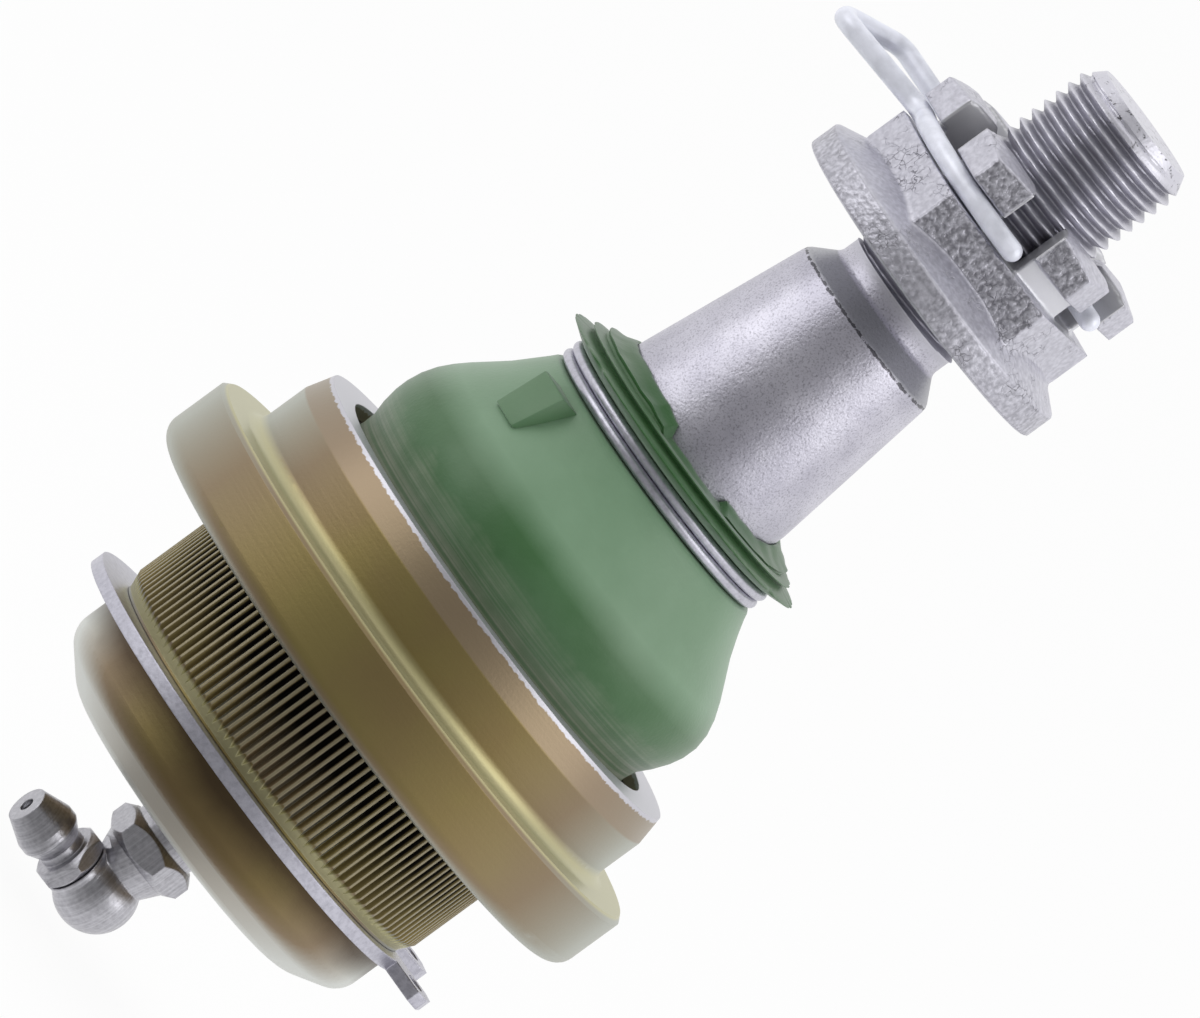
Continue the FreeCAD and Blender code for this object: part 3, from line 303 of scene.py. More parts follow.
# Bright, slightly lilac plating with small dull stains.
finish, tree, shader, place = new_finish("plated_spring_steel", 0.9, 0.36)
mottle = add(tree, "TexNoise", {"Vector": place, "Scale": STAINS_PER_MM / MM, "Detail": 5.0,
                                "Roughness": 0.7}).outputs["Fac"]
stained = add(tree, "MapRange", {0: mottle, 1: 0.4, 2: 0.8}).outputs[0]
colour = add(tree, "Mix", {0: stained, 6: linear(PLATED_LILAC), 7: linear(PLATED_DULL)},
             data_type="RGBA").outputs[2]
tree.links.new(colour, shader.inputs["Base Color"])
grain = add(tree, "TexNoise", {"Vector": place, "Scale": PLATED_GRAIN_PER_MM / MM,
                               "Detail": 2.0}).outputs["Fac"]
soft_edge = add(tree, "Bevel", {"Radius": 0.2 * MM}, samples=4).outputs[0]
bump = add(tree, "Bump", {"Strength": 0.4, "Distance": 0.04 * MM, "Height": grain, "Normal": soft_edge})
tree.links.new(bump.outputs[0], shader.inputs["Normal"])
for name in ("retaining_ring", "boot_clamp_ring"):
    paint(nodes[name], finish)


# Dust boot
# Moulded green rubber bellows with a clamp groove, sealing fins and a thin torn lip round the stud.
# The rubber is satin and leans a little; fine circular lines are left by its mould, and its foot is dark with
# grease. A flat wedge, moulded on below the neck, is where a tool rests.
RUBBER_GREEN = "#325E2F"
RUBBER_CHALK_AND_LIGHT = "#78987A"
RUBBER_GREASY = "#8A917E"
BOOT_SEGMENTS = 360
BOOT_LEAN = 0.7 * MM
BOOT_FOOT = 15.5 * MM
BOOT_NECK = 36.85 * MM
LIP_FOOT = 41.5 * MM
LIP_RADIUS = 15.5 * MM
FINS_FOOT = BOOT_NECK + 2.5 * MM
LIP_TEAR = 0.12
FIN_TEAR = 0.5
FIN_TEAR_START = 0.3
TEARS_PER_MM = 0.35
# Radius and height of the wall's outline in millimetres: the outside from foot to lip, then back down inside.
BOOT_WALL = [
    (19.9, 12.2), (23.3, 12.2), (23.4, 12.4), (23.4, 15.4), (23.2, 15.55), (22.3, 15.7), (22.15, 17.0),
    (22.3, 18.4), (22.9, 19.9), (23.35, 21.6), (23.5, 23.0), (23.4, 24.6), (22.95, 26.2), (22.2, 27.7),
    (21.2, 29.2), (19.9, 30.9), (18.6, 32.6), (17.4, 34.5), (16.45, 36.1), (16.15, 36.7), (15.9, 36.95),
    (15.0, 37.0), (14.6, 37.2), (14.55, 38.4), (14.6, 39.6), (15.0, 39.75), (15.9, 39.8), (16.8, 40.1),
    (17.7, 40.45), (18.25, 40.65), (18.3, 40.72), (18.2, 40.8), (17.2, 40.95), (16.3, 41.1), (15.9, 41.3),
    (16.1, 41.55), (16.5, 41.7), (16.5, 41.8), (15.7, 41.95), (15.0, 42.15), (14.9, 42.4), (15.1, 42.65),
    (15.1, 42.75), (14.4, 42.95), (13.8, 43.2), (13.4, 43.5), (13.0, 43.8), (12.7, 44.0), (12.4, 44.1),
    (12.2, 44.0), (12.16, 43.4), (12.16, 41.0), (12.2, 38.0), (12.4, 36.85), (14.0, 34.4), (17.0, 30.4),
    (19.5, 27.5), (20.5, 26.2), (21.1, 23.0), (19.9, 18.4),
]
# Height of the lip above its foot, as a share, at degrees round the axis: from the left (180) by the front
# (270) to the right (360), and on round the back.
LIP_SHARES = [
    (0, 0.75), (60, 0.95), (180, 1.0), (245, 0.95), (255, 0.75), (258, 0.25), (285, 0.2), (296, 0.25),
    (298, 0.5), (330, 0.45), (345, 0.6), (360, 0.75),
]


def lathe(name, rows, segments, closed=False, capped=False):
    """Mesh turned about the joint's axis; each row is a radius, or a function of the angle, and a height."""
    mesh = bpy.data.meshes.new(name)
    points = []
    for radius, level in rows:
        for index in range(segments):
            angle = 2 * math.pi * index / segments
            distance = radius(angle, level) if callable(radius) else radius
            points.append((distance * math.cos(angle), distance * math.sin(angle), level))
    faces = []
    count = len(rows)
    for row in range(count if closed else count - 1):
        for index in range(segments):
            here = row * segments
            above = (row + 1) % count * segments
            after = (index + 1) % segments
            faces.append((here + index, here + after, above + after, above + index))
    if capped:
        faces.append(tuple(reversed(range(segments))))
        faces.append(tuple(range((count - 1) * segments, count * segments)))
    mesh.from_pydata(points, [], faces)
    mesh.update()
    mesh.shade_smooth()
    piece = bpy.data.objects.new(name, mesh)
    bpy.context.scene.collection.objects.link(piece)
    return piece


def lip_share(degrees):
    """Height of the torn lip at a direction, as a share of the whole lip's height."""
    for (start, low), (end, high) in zip(LIP_SHARES, LIP_SHARES[1:]):
        if degrees <= end:
            return low + (high - low) * (degrees - start) / (end - start)
    return LIP_SHARES[-1][1]


wall = [(radius * MM, level * MM) for radius, level in BOOT_WALL]
boot = lathe("rubber_boot", wall, BOOT_SEGMENTS, closed=True)
for vertex in boot.data.vertices:
    point = vertex.co
    reach = math.hypot(point.x, point.y)
    degrees = math.degrees(math.atan2(point.y, point.x)) % 360
    wave = noise.noise(Vector((point.x, point.y, 0.0)) * TEARS_PER_MM / MM)
    if point.z > LIP_FOOT and reach < LIP_RADIUS:
        share = min(1.0, lip_share(degrees) + LIP_TEAR * wave)
        point.z = LIP_FOOT + (point.z - LIP_FOOT) * share
    elif reach > LIP_RADIUS and point.z > FINS_FOOT:
        torn = FIN_TEAR * max(0.0, abs(wave) - FIN_TEAR_START)
        shrink = 1 - torn * (reach - LIP_RADIUS) / reach
        point.x *= shrink
        point.y *= shrink

# The wedge: its face falls less than the boot's slope, so it stands proud only at its upper end. Each end is
# given as its height, outer reach, inner reach and half width.
WEDGE_DIRECTION = math.radians(-46)
WEDGE_FOOT = (30.2 * MM, 20.9 * MM, 18.6 * MM, 2.1 * MM)
WEDGE_TOP = (36.0 * MM, 19.2 * MM, 15.4 * MM, 2.5 * MM)
WEDGE_ROUND = 0.22 * MM
outward = Vector((math.sin(WEDGE_DIRECTION), -math.cos(WEDGE_DIRECTION), 0.0))
across = Vector((math.cos(WEDGE_DIRECTION), math.sin(WEDGE_DIRECTION), 0.0))
wedge = bmesh.new()
mark = wedge.verts.layers.float.new("wedge")
corners = []
for level, outer, inner, half in (WEDGE_FOOT, WEDGE_TOP):
    for distance, side in ((outer, -half), (outer, half), (inner, half), (inner, -half)):
        corners.append(wedge.verts.new(outward * distance + across * side + Vector((0.0, 0.0, level))))
for face in ((0, 1, 5, 4), (1, 2, 6, 5), (2, 3, 7, 6), (3, 0, 4, 7), (3, 2, 1, 0), (4, 5, 6, 7)):
    wedge.faces.new([corners[index] for index in face])
bmesh.ops.bevel(wedge, geom=list(wedge.edges), offset=WEDGE_ROUND, segments=2, affect="EDGES", profile=0.5)
# The wedge is marked on its own vertices, so that its tone goes with it when the boot turns or bends.
for vertex in wedge.verts:
    vertex[mark] = 1.0
wedge.from_mesh(boot.data)
for vertex in wedge.verts:
    share = (vertex.co.z - BOOT_FOOT) / (BOOT_NECK - BOOT_FOOT)
    if 0 < share < 1:
        vertex.co.x += BOOT_LEAN * math.sin(math.pi * share) ** 2
wedge.to_mesh(boot.data)
wedge.free()
boot.data.shade_smooth()
boot.data.set_sharp_from_angle(angle=math.radians(42))

LIT_CONE_FOOT = 25.2 * MM
LIT_CONE_TOP = 28.4 * MM
BELLY_LIGHT_SHARE = 0.05
CONE_LIGHT_SHARE = 0.82
CLOUD_CHALK = 0.22
WEDGE_CHALK = 0.45
FIN_FADE_FOOT = 39.8 * MM
FIN_FADE_TOP = 40.4 * MM
GREASE_FOOT = 17.0 * MM
GREASE_TOP = 22.5 * MM
GREASE_SWING = 2.5 * MM
FOOT_LINES_FOOT = 20.0 * MM
FOOT_LINES_TOP = 23.0 * MM
# Repeats per millimetre: chalky clouds of about 8 mm, smears of 3 mm and wipe marks of 0.3 mm in the grease,
# mould lines of 0.6 mm and a grain of 0.45 mm, which is drawn coarser than it is so that it shows.
CHALK_CLOUDS_PER_MM = 0.12
FOOT_SMEARS_PER_MM = 0.3
WIPES_PER_MM = 3.0
MOULD_LINES_PER_MM = 1.6
RUBBER_GRAIN_PER_MM = 2.2

# Satin rubber with chalky clouds: the cone is painted paler as lit and the belly deep green as shaded, and
# a faint sheen shows where it is seen edge-on.
finish, tree, shader, place = new_finish("moulded_green_rubber", 0.0, 0.42)
shader.inputs["IOR"].default_value = 1.5
shader.inputs["Sheen Weight"].default_value = 0.2
shader.inputs["Sheen Roughness"].default_value = 0.4
reach, height = turned_place(tree, place)
round_place = add(tree, "CombineXYZ", {0: reach, 1: height}).outputs[0]
clouds = add(tree, "TexNoise", {"Vector": place, "Scale": CHALK_CLOUDS_PER_MM / MM,
                                "Detail": 4.0}).outputs["Fac"]
chalk_and_light = add(tree, "MapRange", {0: clouds, 1: 0.35, 2: 0.75}).outputs[0]
# Painted light and shade: paler up the cone, which faces the light, and deep green on the belly.
on_cone = add(tree, "MapRange", {0: height, 1: LIT_CONE_FOOT, 2: LIT_CONE_TOP, 3: BELLY_LIGHT_SHARE,
                                 4: CONE_LIGHT_SHARE}).outputs[0]
below_fins = add(tree, "MapRange", {0: height, 1: FIN_FADE_FOOT, 2: FIN_FADE_TOP, 3: 1.0, 4: 0.0}).outputs[0]
chalk_and_light = add(tree, "Math", {0: chalk_and_light, 1: CLOUD_CHALK, 2: on_cone}, operation="MULTIPLY_ADD").outputs[0]
chalk_and_light = add(tree, "Math", {0: chalk_and_light, 1: below_fins}, operation="MULTIPLY", use_clamp=True).outputs[0]
on_wedge = add(tree, "Attribute", attribute_name="wedge").outputs["Fac"]
off_wedge = add(tree, "MapRange", {0: on_wedge, 3: 1.0, 4: WEDGE_CHALK}).outputs[0]
chalk_and_light = add(tree, "Math", {0: chalk_and_light, 1: off_wedge}, operation="MULTIPLY").outputs[0]
colour = add(tree, "Mix", {0: chalk_and_light, 6: linear(RUBBER_GREEN), 7: linear(RUBBER_CHALK_AND_LIGHT)},
             data_type="RGBA").outputs[2]
smear = add(tree, "TexNoise", {"Vector": place, "Scale": FOOT_SMEARS_PER_MM / MM,
                               "Detail": 6.0}).outputs["Fac"]
smear = add(tree, "MapRange", {0: smear, 3: -GREASE_SWING, 4: GREASE_SWING}).outputs[0]
level = add(tree, "Math", {0: height, 1: smear}, operation="ADD").outputs[0]
wiped = add(tree, "TexNoise", {"Vector": round_place, "Scale": WIPES_PER_MM / MM,
                               "Detail": 3.0}).outputs["Fac"]
wiped = add(tree, "MapRange", {0: wiped, 1: 0.4, 2: 0.62, 3: 0.35, 4: 1.0}).outputs[0]
greasy = add(tree, "MapRange", {0: level, 1: GREASE_FOOT, 2: GREASE_TOP, 3: 1.0, 4: 0.0}).outputs[0]
greasy = add(tree, "Math", {0: greasy, 1: wiped}, operation="MULTIPLY").outputs[0]
colour = add(tree, "Mix", {0: greasy, 6: colour, 7: linear(RUBBER_GREASY)}, data_type="RGBA").outputs[2]
tree.links.new(colour, shader.inputs["Base Color"])
lines = add(tree, "TexNoise", {"Vector": round_place, "Scale": MOULD_LINES_PER_MM / MM,
                               "Detail": 3.0}).outputs["Fac"]
foot_lines = add(tree, "MapRange", {0: height, 1: FOOT_LINES_FOOT, 2: FOOT_LINES_TOP, 3: 1.6,
                                    4: 0.35}).outputs[0]
lines = add(tree, "Math", {0: lines, 1: foot_lines}, operation="MULTIPLY").outputs[0]
grain = add(tree, "TexNoise", {"Vector": place, "Scale": RUBBER_GRAIN_PER_MM / MM,
                               "Detail": 3.0}).outputs["Fac"]
relief = add(tree, "Math", {0: lines, 1: grain}, operation="ADD").outputs[0]
bump = add(tree, "Bump", {"Strength": 0.3, "Distance": 0.08 * MM, "Height": relief})
tree.links.new(bump.outputs[0], shader.inputs["Normal"])
paint(boot, finish)
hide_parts("dust_boot")
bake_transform(boot)


# Ball stud
# Forged and ground steel with a zinc flake coat: ball, neck, taper, and an M16 x 1.5 thread. The coat is
# chipped at the taper's upper end; the thread's crests are rubbed bright with a painted highlight, its roots
# are painted darker as shade, and dark crumbs sit in its last turns. The cross hole of the CAD stud lies
# behind the nut's slots and is left out of this mesh.
COAT_LIGHT = "#D0CED9"
COAT_GREY = "#B9B7C3"
COAT_DUST = "#77757F"
CONE_GREY = "#9A9C9D"
COAT_CHIPPED = "#3B3A3E"
CREST_BRIGHT = "#D3D2DB"
ROOT_SHADE_DARK = "#A09FA9"
THREAD_RADIUS = 7.92 * MM
THREAD_PITCH = 1.5 * MM
THREAD_DEPTH = 0.85 * MM
THREAD_ROWS = 14
END_CONE_LENGTH = 2.2 * MM
END_CONE_FALL = 0.62
END_FACE_RADIUS = 6.2 * MM
# The thread's flat crest and its flank, as shares of half a pitch, and the nicks that rubbing leaves in it.
CREST_SHARE = 0.1
FLANK_SHARE = 0.78
NICK_DEPTH = 0.12 * MM
NICKS_ROUND = 9
NICKS_PER_METRE = 900
STUD_SEGMENTS = 180
BALL_ROWS = 24
BALL_ROW_DEGREES = 6.45
stud_low, stud_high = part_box("ball_stud")
BALL_LEVEL = 1.5 * MM
ball_radius = BALL_LEVEL - stud_low.z
THREAD_FOOT = 68.2 * MM
TAPER_EDGE = 63.4 * MM
NECK_FOOT = 65.9 * MM
# Radius and height in millimetres, from the ball's top by neck and taper to the foot of the thread.
STUD_PROFILE = [
    (9.2, 16.2), (9.0, 17.5), (9.0, 26.6), (9.15, 27.2), (12.0, 32.8), (12.1, 33.2), (12.1, 44.3),
    (12.05, 44.9), (10.15, 63.0), (10.03, 63.5), (9.8, 63.85), (8.0, 65.75), (7.8, 66.05), (7.7, 66.4),
    (7.7, 68.0), (7.75, 68.2),
]


def thread(angle, level):
    """Radius of the right-hand thread, with the cone that ends it."""
    phase = (level / THREAD_PITCH - angle / (2 * math.pi)) % 1.0
    flank = abs(phase - 0.5) * 2
    cut = min(max((flank - CREST_SHARE) / FLANK_SHARE, 0.0), 1.0)
    end_cone = THREAD_RADIUS - END_CONE_FALL * max(0.0, level - (stud_high.z - END_CONE_LENGTH))
    across = Vector((math.cos(angle), math.sin(angle), 0.0)) * NICKS_ROUND
    nick = NICK_DEPTH * max(0.0, noise.noise(across + Vector((0.0, 0.0, level * NICKS_PER_METRE))))
    return min(THREAD_RADIUS - THREAD_DEPTH * cut - nick * (1 - cut), end_cone)


rows = []
for step in range(1, BALL_ROWS + 1):
    swing = math.radians(-90 + step * BALL_ROW_DEGREES)
    rows.append((ball_radius * math.cos(swing), BALL_LEVEL + ball_radius * math.sin(swing)))
rows += [(radius * MM, level * MM) for radius, level in STUD_PROFILE]
level = THREAD_FOOT + 0.1 * MM
while level < stud_high.z:
    rows.append((thread, level))
    level += THREAD_PITCH / THREAD_ROWS
rows.append((thread, stud_high.z))
rows.append((END_FACE_RADIUS, stud_high.z))
stud = lathe("coated_stud", rows, STUD_SEGMENTS, capped=True)
stud.data.set_sharp_from_angle(angle=math.radians(35))

CONE_SHARE = 0.6
DUST_SHARE = 0.6
CHIP_SHARE = 0.85
# Repeats per millimetre: pebbles of about 0.3 mm and dust of 0.2 mm, both drawn coarser than they are so that
# they show, clouds of 7 mm and chips of 0.8 mm.
PEBBLES_PER_MM = 3.2
DUST_PER_MM = 5.0
COAT_CLOUDS_PER_MM = 0.15
CHIPS_PER_MM = 1.3

# Light violet grey metal flakes in a binder: satin and finely pebbled.
finish, tree, shader, place = new_finish("zinc_flake_coated_steel", 0.85, 0.37)
reach, height = turned_place(tree, place)
pebble = add(tree, "TexNoise", {"Vector": place, "Scale": PEBBLES_PER_MM / MM, "Detail": 2.0}).outputs["Fac"]
clouds = add(tree, "TexNoise", {"Vector": place, "Scale": COAT_CLOUDS_PER_MM / MM,
                                "Detail": 3.0}).outputs["Fac"]
cloudy = add(tree, "MapRange", {0: clouds, 1: 0.35, 2: 0.65}).outputs[0]
colour = add(tree, "Mix", {0: cloudy, 6: linear(COAT_LIGHT), 7: linear(COAT_GREY)},
             data_type="RGBA").outputs[2]
dust = add(tree, "TexNoise", {"Vector": place, "Scale": DUST_PER_MM / MM, "Detail": 2.0}).outputs["Fac"]
dust = add(tree, "MapRange", {0: dust, 1: 0.5, 2: 0.72, 4: DUST_SHARE}).outputs[0]
colour = add(tree, "Mix", {0: dust, 6: colour, 7: linear(COAT_DUST)}, data_type="RGBA").outputs[2]
over_taper = add(tree, "MapRange", {0: height, 1: TAPER_EDGE, 2: TAPER_EDGE + 0.2 * MM,
                                    4: CONE_SHARE}).outputs[0]
below_neck = add(tree, "MapRange", {0: height, 1: NECK_FOOT - 0.2 * MM, 2: NECK_FOOT, 3: 1.0,
                                    4: 0.0}).outputs[0]
on_cone = add(tree, "Math", {0: over_taper, 1: below_neck}, operation="MULTIPLY").outputs[0]
colour = add(tree, "Mix", {0: on_cone, 6: colour, 7: linear(CONE_GREY)}, data_type="RGBA").outputs[2]
past_taper = add(tree, "MapRange", {0: height, 1: THREAD_FOOT - 1.2 * MM,
                                    2: THREAD_FOOT - 0.2 * MM}).outputs[0]
# The thread's crests are rubbed bright and painted as a highlight; its roots are painted darker as shade.
on_crest = add(tree, "MapRange", {0: reach, 1: THREAD_RADIUS - 0.6 * THREAD_DEPTH,
                                  2: THREAD_RADIUS}).outputs[0]
threaded = add(tree, "Mix", {0: on_crest, 6: linear(ROOT_SHADE_DARK), 7: linear(CREST_BRIGHT)},
               data_type="RGBA").outputs[2]
colour = add(tree, "Mix", {0: past_taper, 6: colour, 7: threaded}, data_type="RGBA").outputs[2]
on_end = add(tree, "MapRange", {0: height, 1: stud_high.z - 2.0 * MM, 2: stud_high.z - 1.6 * MM}).outputs[0]
colour = add(tree, "Mix", {0: on_end, 6: colour, 7: linear(CREST_BRIGHT)}, data_type="RGBA").outputs[2]
specks = add(tree, "TexNoise", {"Vector": place, "Scale": CHIPS_PER_MM / MM, "Detail": 5.0,
                                "Roughness": 0.7}).outputs["Fac"]
from_edge = add(tree, "Math", {0: height, 1: TAPER_EDGE}, operation="SUBTRACT").outputs[0]
from_edge = add(tree, "Math", {0: from_edge}, operation="ABSOLUTE").outputs[0]
at_edge = add(tree, "MapRange", {0: from_edge, 1: 0.08 * MM, 2: 0.3 * MM, 3: 0.3, 4: 0.0}).outputs[0]
near_end = add(tree, "MapRange", {0: height, 1: stud_high.z - 5 * MM, 2: stud_high.z - 1.5 * MM,
                                  4: 0.12}).outputs[0]
chips = add(tree, "Math", {0: specks, 1: at_edge}, operation="ADD").outputs[0]
chips = add(tree, "Math", {0: chips, 1: near_end}, operation="ADD").outputs[0]
chips = add(tree, "MapRange", {0: chips, 1: 0.70, 2: 0.76, 4: CHIP_SHARE}).outputs[0]
colour = add(tree, "Mix", {0: chips, 6: colour, 7: linear(COAT_CHIPPED)}, data_type="RGBA").outputs[2]
tree.links.new(colour, shader.inputs["Base Color"])
bump = add(tree, "Bump", {"Strength": 0.8, "Distance": 0.045 * MM, "Height": pebble})
tree.links.new(bump.outputs[0], shader.inputs["Normal"])
paint(stud, finish)
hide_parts("ball_stud")
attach(stud, "stud")


# Castle nut
# Hot forged steel with a flange, zinc plated and screwed on the stud. The forging leaves its faces coarse,
# with fine cracks in the plating. The slots are milled, so their walls are smooth and darker, and the groove
# in which the clip lies is turned smooth.
FORGED_LIGHT = "#D2D1DB"
FORGED_GREY = "#BCBBC5"
COARSE_LIGHT = "#CFCED8"
COARSE_SHADED_DARK = "#8B8A92"
CRACK_DARK = "#626168"
MILLED_GREY = "#C4C4C8"
GROOVE_PALE = "#D8D8DE"
NUT_VOXEL = 0.22 * MM
SLOT_DIRECTION = math.radians(38)
SLOT_TURN = math.radians(60)
SLOT_HALF = 2.55 * MM
SLOT_FLOOR = 79.8 * MM
CLIP_GROOVE_RADIUS = 12.5 * MM
CLIP_GROOVE_LEVEL = 80.95 * MM
CLIP_GROOVE_HALF = 1.35 * MM
FORGED_GRAIN = 0.55 * MM
FLANGE_RIM_RADIUS = 17.2 * MM
RIM_SHARE = 0.5
CRACK_SHARE = 0.8
CRACK_DRIFT = 1.8 * MM
SMOOTH_RELIEF = 0.3
COARSE_RELIEF = 1.4
# The two coarse flats run along flat_side and end 60 degrees away from it, where the cosine is a half.
FLAT_EDGE = 0.5
# Repeats per millimetre: cracks about 1.1 mm apart, bent by waves of 1.3 mm, in patches of 4 mm.
CRACKS_PER_MM = 0.9
CRACK_WAVES_PER_MM = 0.8
CRACK_PATCHES_PER_MM = 0.25


def forged_copy(name, node, voxel, smoothing):
    """Copy of a solid with its edges rounded, as forging and plating leave them."""
    shape = bmesh.new()
    shape.from_mesh(nodes[node].data)
    bmesh.ops.remove_doubles(shape, verts=shape.verts, dist=0.001 * MM)
    mesh = bpy.data.meshes.new(name)
    shape.to_mesh(mesh)
    shape.free()
    piece = bpy.data.objects.new(name, mesh)
    bpy.context.scene.collection.objects.link(piece)
    voxels = piece.modifiers.new("Voxels", "REMESH")
    voxels.mode = "VOXEL"
    voxels.voxel_size = voxel
    smooth = piece.modifiers.new("Smooth", "SMOOTH")
    smooth.iterations = smoothing
    bpy.context.view_layer.update()
    result = bpy.data.meshes.new_from_object(piece.evaluated_get(bpy.context.evaluated_depsgraph_get()))
    piece.modifiers.clear()
    piece.data = result
    piece.data.shade_smooth()
    return piece


nut = forged_copy("forged_nut", "castle_nut", NUT_VOXEL, 3)
# Pale grey plating over a scaly forging: raised grains painted light as highlights, hollows darker as shade.
finish, tree, shader, place = new_finish("zinc_plated_forging", 0.7, 0.4)
reach, height = turned_place(tree, place)
parts = add(tree, "SeparateXYZ", {0: place}).outputs
angle = add(tree, "Math", {0: parts[1], 1: parts[0]}, operation="ARCTAN2").outputs[0]
angle = add(tree, "Math", {0: angle, 1: SLOT_DIRECTION}, operation="SUBTRACT").outputs[0]
angle = add(tree, "Math", {0: angle, 1: SLOT_TURN / 2, 2: -SLOT_TURN / 2}, operation="WRAP").outputs[0]
aside = add(tree, "Math", {0: angle}, operation="SINE").outputs[0]
aside = add(tree, "Math", {0: aside, 1: reach}, operation="MULTIPLY").outputs[0]
aside = add(tree, "Math", {0: aside}, operation="ABSOLUTE").outputs[0]
in_slot = add(tree, "MapRange", {0: aside, 1: SLOT_HALF + 0.1 * MM, 2: SLOT_HALF + 0.3 * MM, 3: 1.0,
                                 4: 0.0}).outputs[0]
above_floor = add(tree, "MapRange", {0: height, 1: SLOT_FLOOR - 0.3 * MM,
                                     2: SLOT_FLOOR - 0.1 * MM}).outputs[0]
milled = add(tree, "Math", {0: in_slot, 1: above_floor}, operation="MULTIPLY").outputs[0]
inside = add(tree, "MapRange", {0: reach, 1: CLIP_GROOVE_RADIUS + 0.3 * MM, 2: CLIP_GROOVE_RADIUS + 0.6 * MM,
                                3: 1.0, 4: 0.0}).outputs[0]
from_groove = add(tree, "Math", {0: height, 1: CLIP_GROOVE_LEVEL}, operation="SUBTRACT").outputs[0]
from_groove = add(tree, "Math", {0: from_groove}, operation="ABSOLUTE").outputs[0]
in_groove = add(tree, "MapRange", {0: from_groove, 1: CLIP_GROOVE_HALF, 2: CLIP_GROOVE_HALF + 0.2 * MM,
                                   3: 1.0, 4: 0.0}).outputs[0]
turned = add(tree, "Math", {0: inside, 1: in_groove}, operation="MULTIPLY").outputs[0]
coarse = add(tree, "Math", {0: milled, 1: turned}, operation="MAXIMUM").outputs[0]
coarse = add(tree, "Math", {0: 1.0, 1: coarse}, operation="SUBTRACT").outputs[0]

# The die left two opposite flats of the hexagon coarse, and the others smoother; the rim is between. The
# coarse flats are also painted darker, as shade.
flat_direction = SLOT_DIRECTION - SLOT_TURN / 2
flat_side = Vector((math.cos(flat_direction), math.sin(flat_direction), 0.0))
off_flat = add(tree, "VectorMath", {0: place, 1: flat_side}, operation="DOT_PRODUCT").outputs["Value"]
off_flat = add(tree, "Math", {0: off_flat, 1: reach}, operation="DIVIDE").outputs[0]
off_flat = add(tree, "Math", {0: off_flat}, operation="ABSOLUTE").outputs[0]
on_flat = add(tree, "MapRange", {0: off_flat, 1: FLAT_EDGE - 0.01, 2: FLAT_EDGE, 3: 1.0, 4: 0.0}).outputs[0]
facing = add(tree, "TexCoord").outputs["Normal"]
facing = add(tree, "SeparateXYZ", {0: facing}).outputs[2]
facing = add(tree, "Math", {0: facing}, operation="ABSOLUTE").outputs[0]
upright = add(tree, "MapRange", {0: facing, 1: 0.25, 2: 0.45, 3: 1.0, 4: 0.0}).outputs[0]
on_flat = add(tree, "Math", {0: on_flat, 1: upright}, operation="MULTIPLY").outputs[0]
on_rim = add(tree, "MapRange", {0: reach, 1: FLANGE_RIM_RADIUS, 2: FLANGE_RIM_RADIUS + 0.3 * MM}).outputs[0]
off_rim = add(tree, "Math", {0: 1.0, 1: on_rim}, operation="SUBTRACT").outputs[0]
on_flat = add(tree, "Math", {0: on_flat, 1: off_rim}, operation="MULTIPLY").outputs[0]
on_rim = add(tree, "Math", {0: on_rim, 1: upright}, operation="MULTIPLY").outputs[0]
on_rim = add(tree, "Math", {0: on_rim, 1: RIM_SHARE}, operation="MULTIPLY").outputs[0]
pitted = add(tree, "Math", {0: on_flat, 1: on_rim}, operation="MAXIMUM").outputs[0]
bumps = add(tree, "TexNoise", {"Vector": place, "Scale": 1 / FORGED_GRAIN, "Detail": 2.0,
                               "Roughness": 0.45}).outputs["Fac"]
# Painted highlight and shade: the raised grains are painted lighter and the hollows between them darker.
grain_highlight = add(tree, "MapRange", {0: bumps, 1: 0.36, 2: 0.7}).outputs[0]
smooth = add(tree, "Mix", {0: grain_highlight, 6: linear(FORGED_GREY), 7: linear(FORGED_LIGHT)},
             data_type="RGBA").outputs[2]
# The coarse flats are painted darker as shade, besides their coarser grain.
rough_shaded = add(tree, "Mix", {0: grain_highlight, 6: linear(COARSE_SHADED_DARK), 7: linear(COARSE_LIGHT)},
            data_type="RGBA").outputs[2]
colour = add(tree, "Mix", {0: pitted, 6: smooth, 7: rough_shaded}, data_type="RGBA").outputs[2]
drift = add(tree, "TexNoise", {"Vector": place, "Scale": CRACK_WAVES_PER_MM / MM,
                               "Detail": 3.0}).outputs["Color"]
drift = add(tree, "VectorMath", {0: drift, "Scale": CRACK_DRIFT}, operation="SCALE").outputs[0]
drifted = add(tree, "VectorMath", {0: place, 1: drift}, operation="ADD").outputs[0]
cracks = add(tree, "TexVoronoi", {"Vector": drifted, "Scale": CRACKS_PER_MM / MM},
             feature="DISTANCE_TO_EDGE").outputs[0]
cracks = add(tree, "MapRange", {0: cracks, 1: 0.0, 2: 0.04, 3: 1.0, 4: 0.0}).outputs[0]
patches = add(tree, "TexNoise", {"Vector": place, "Scale": CRACK_PATCHES_PER_MM / MM,
                                 "Detail": 2.0}).outputs["Fac"]
patches = add(tree, "MapRange", {0: patches, 1: 0.52, 2: 0.68, 4: CRACK_SHARE}).outputs[0]
cracks = add(tree, "Math", {0: cracks, 1: patches}, operation="MULTIPLY").outputs[0]
cracks = add(tree, "Math", {0: cracks, 1: coarse}, operation="MULTIPLY").outputs[0]
colour = add(tree, "Mix", {0: cracks, 6: colour, 7: linear(CRACK_DARK)}, data_type="RGBA").outputs[2]
colour = add(tree, "Mix", {0: turned, 6: colour, 7: linear(GROOVE_PALE)}, data_type="RGBA").outputs[2]
colour = add(tree, "Mix", {0: milled, 6: colour, 7: linear(MILLED_GREY)}, data_type="RGBA").outputs[2]
tree.links.new(colour, shader.inputs["Base Color"])
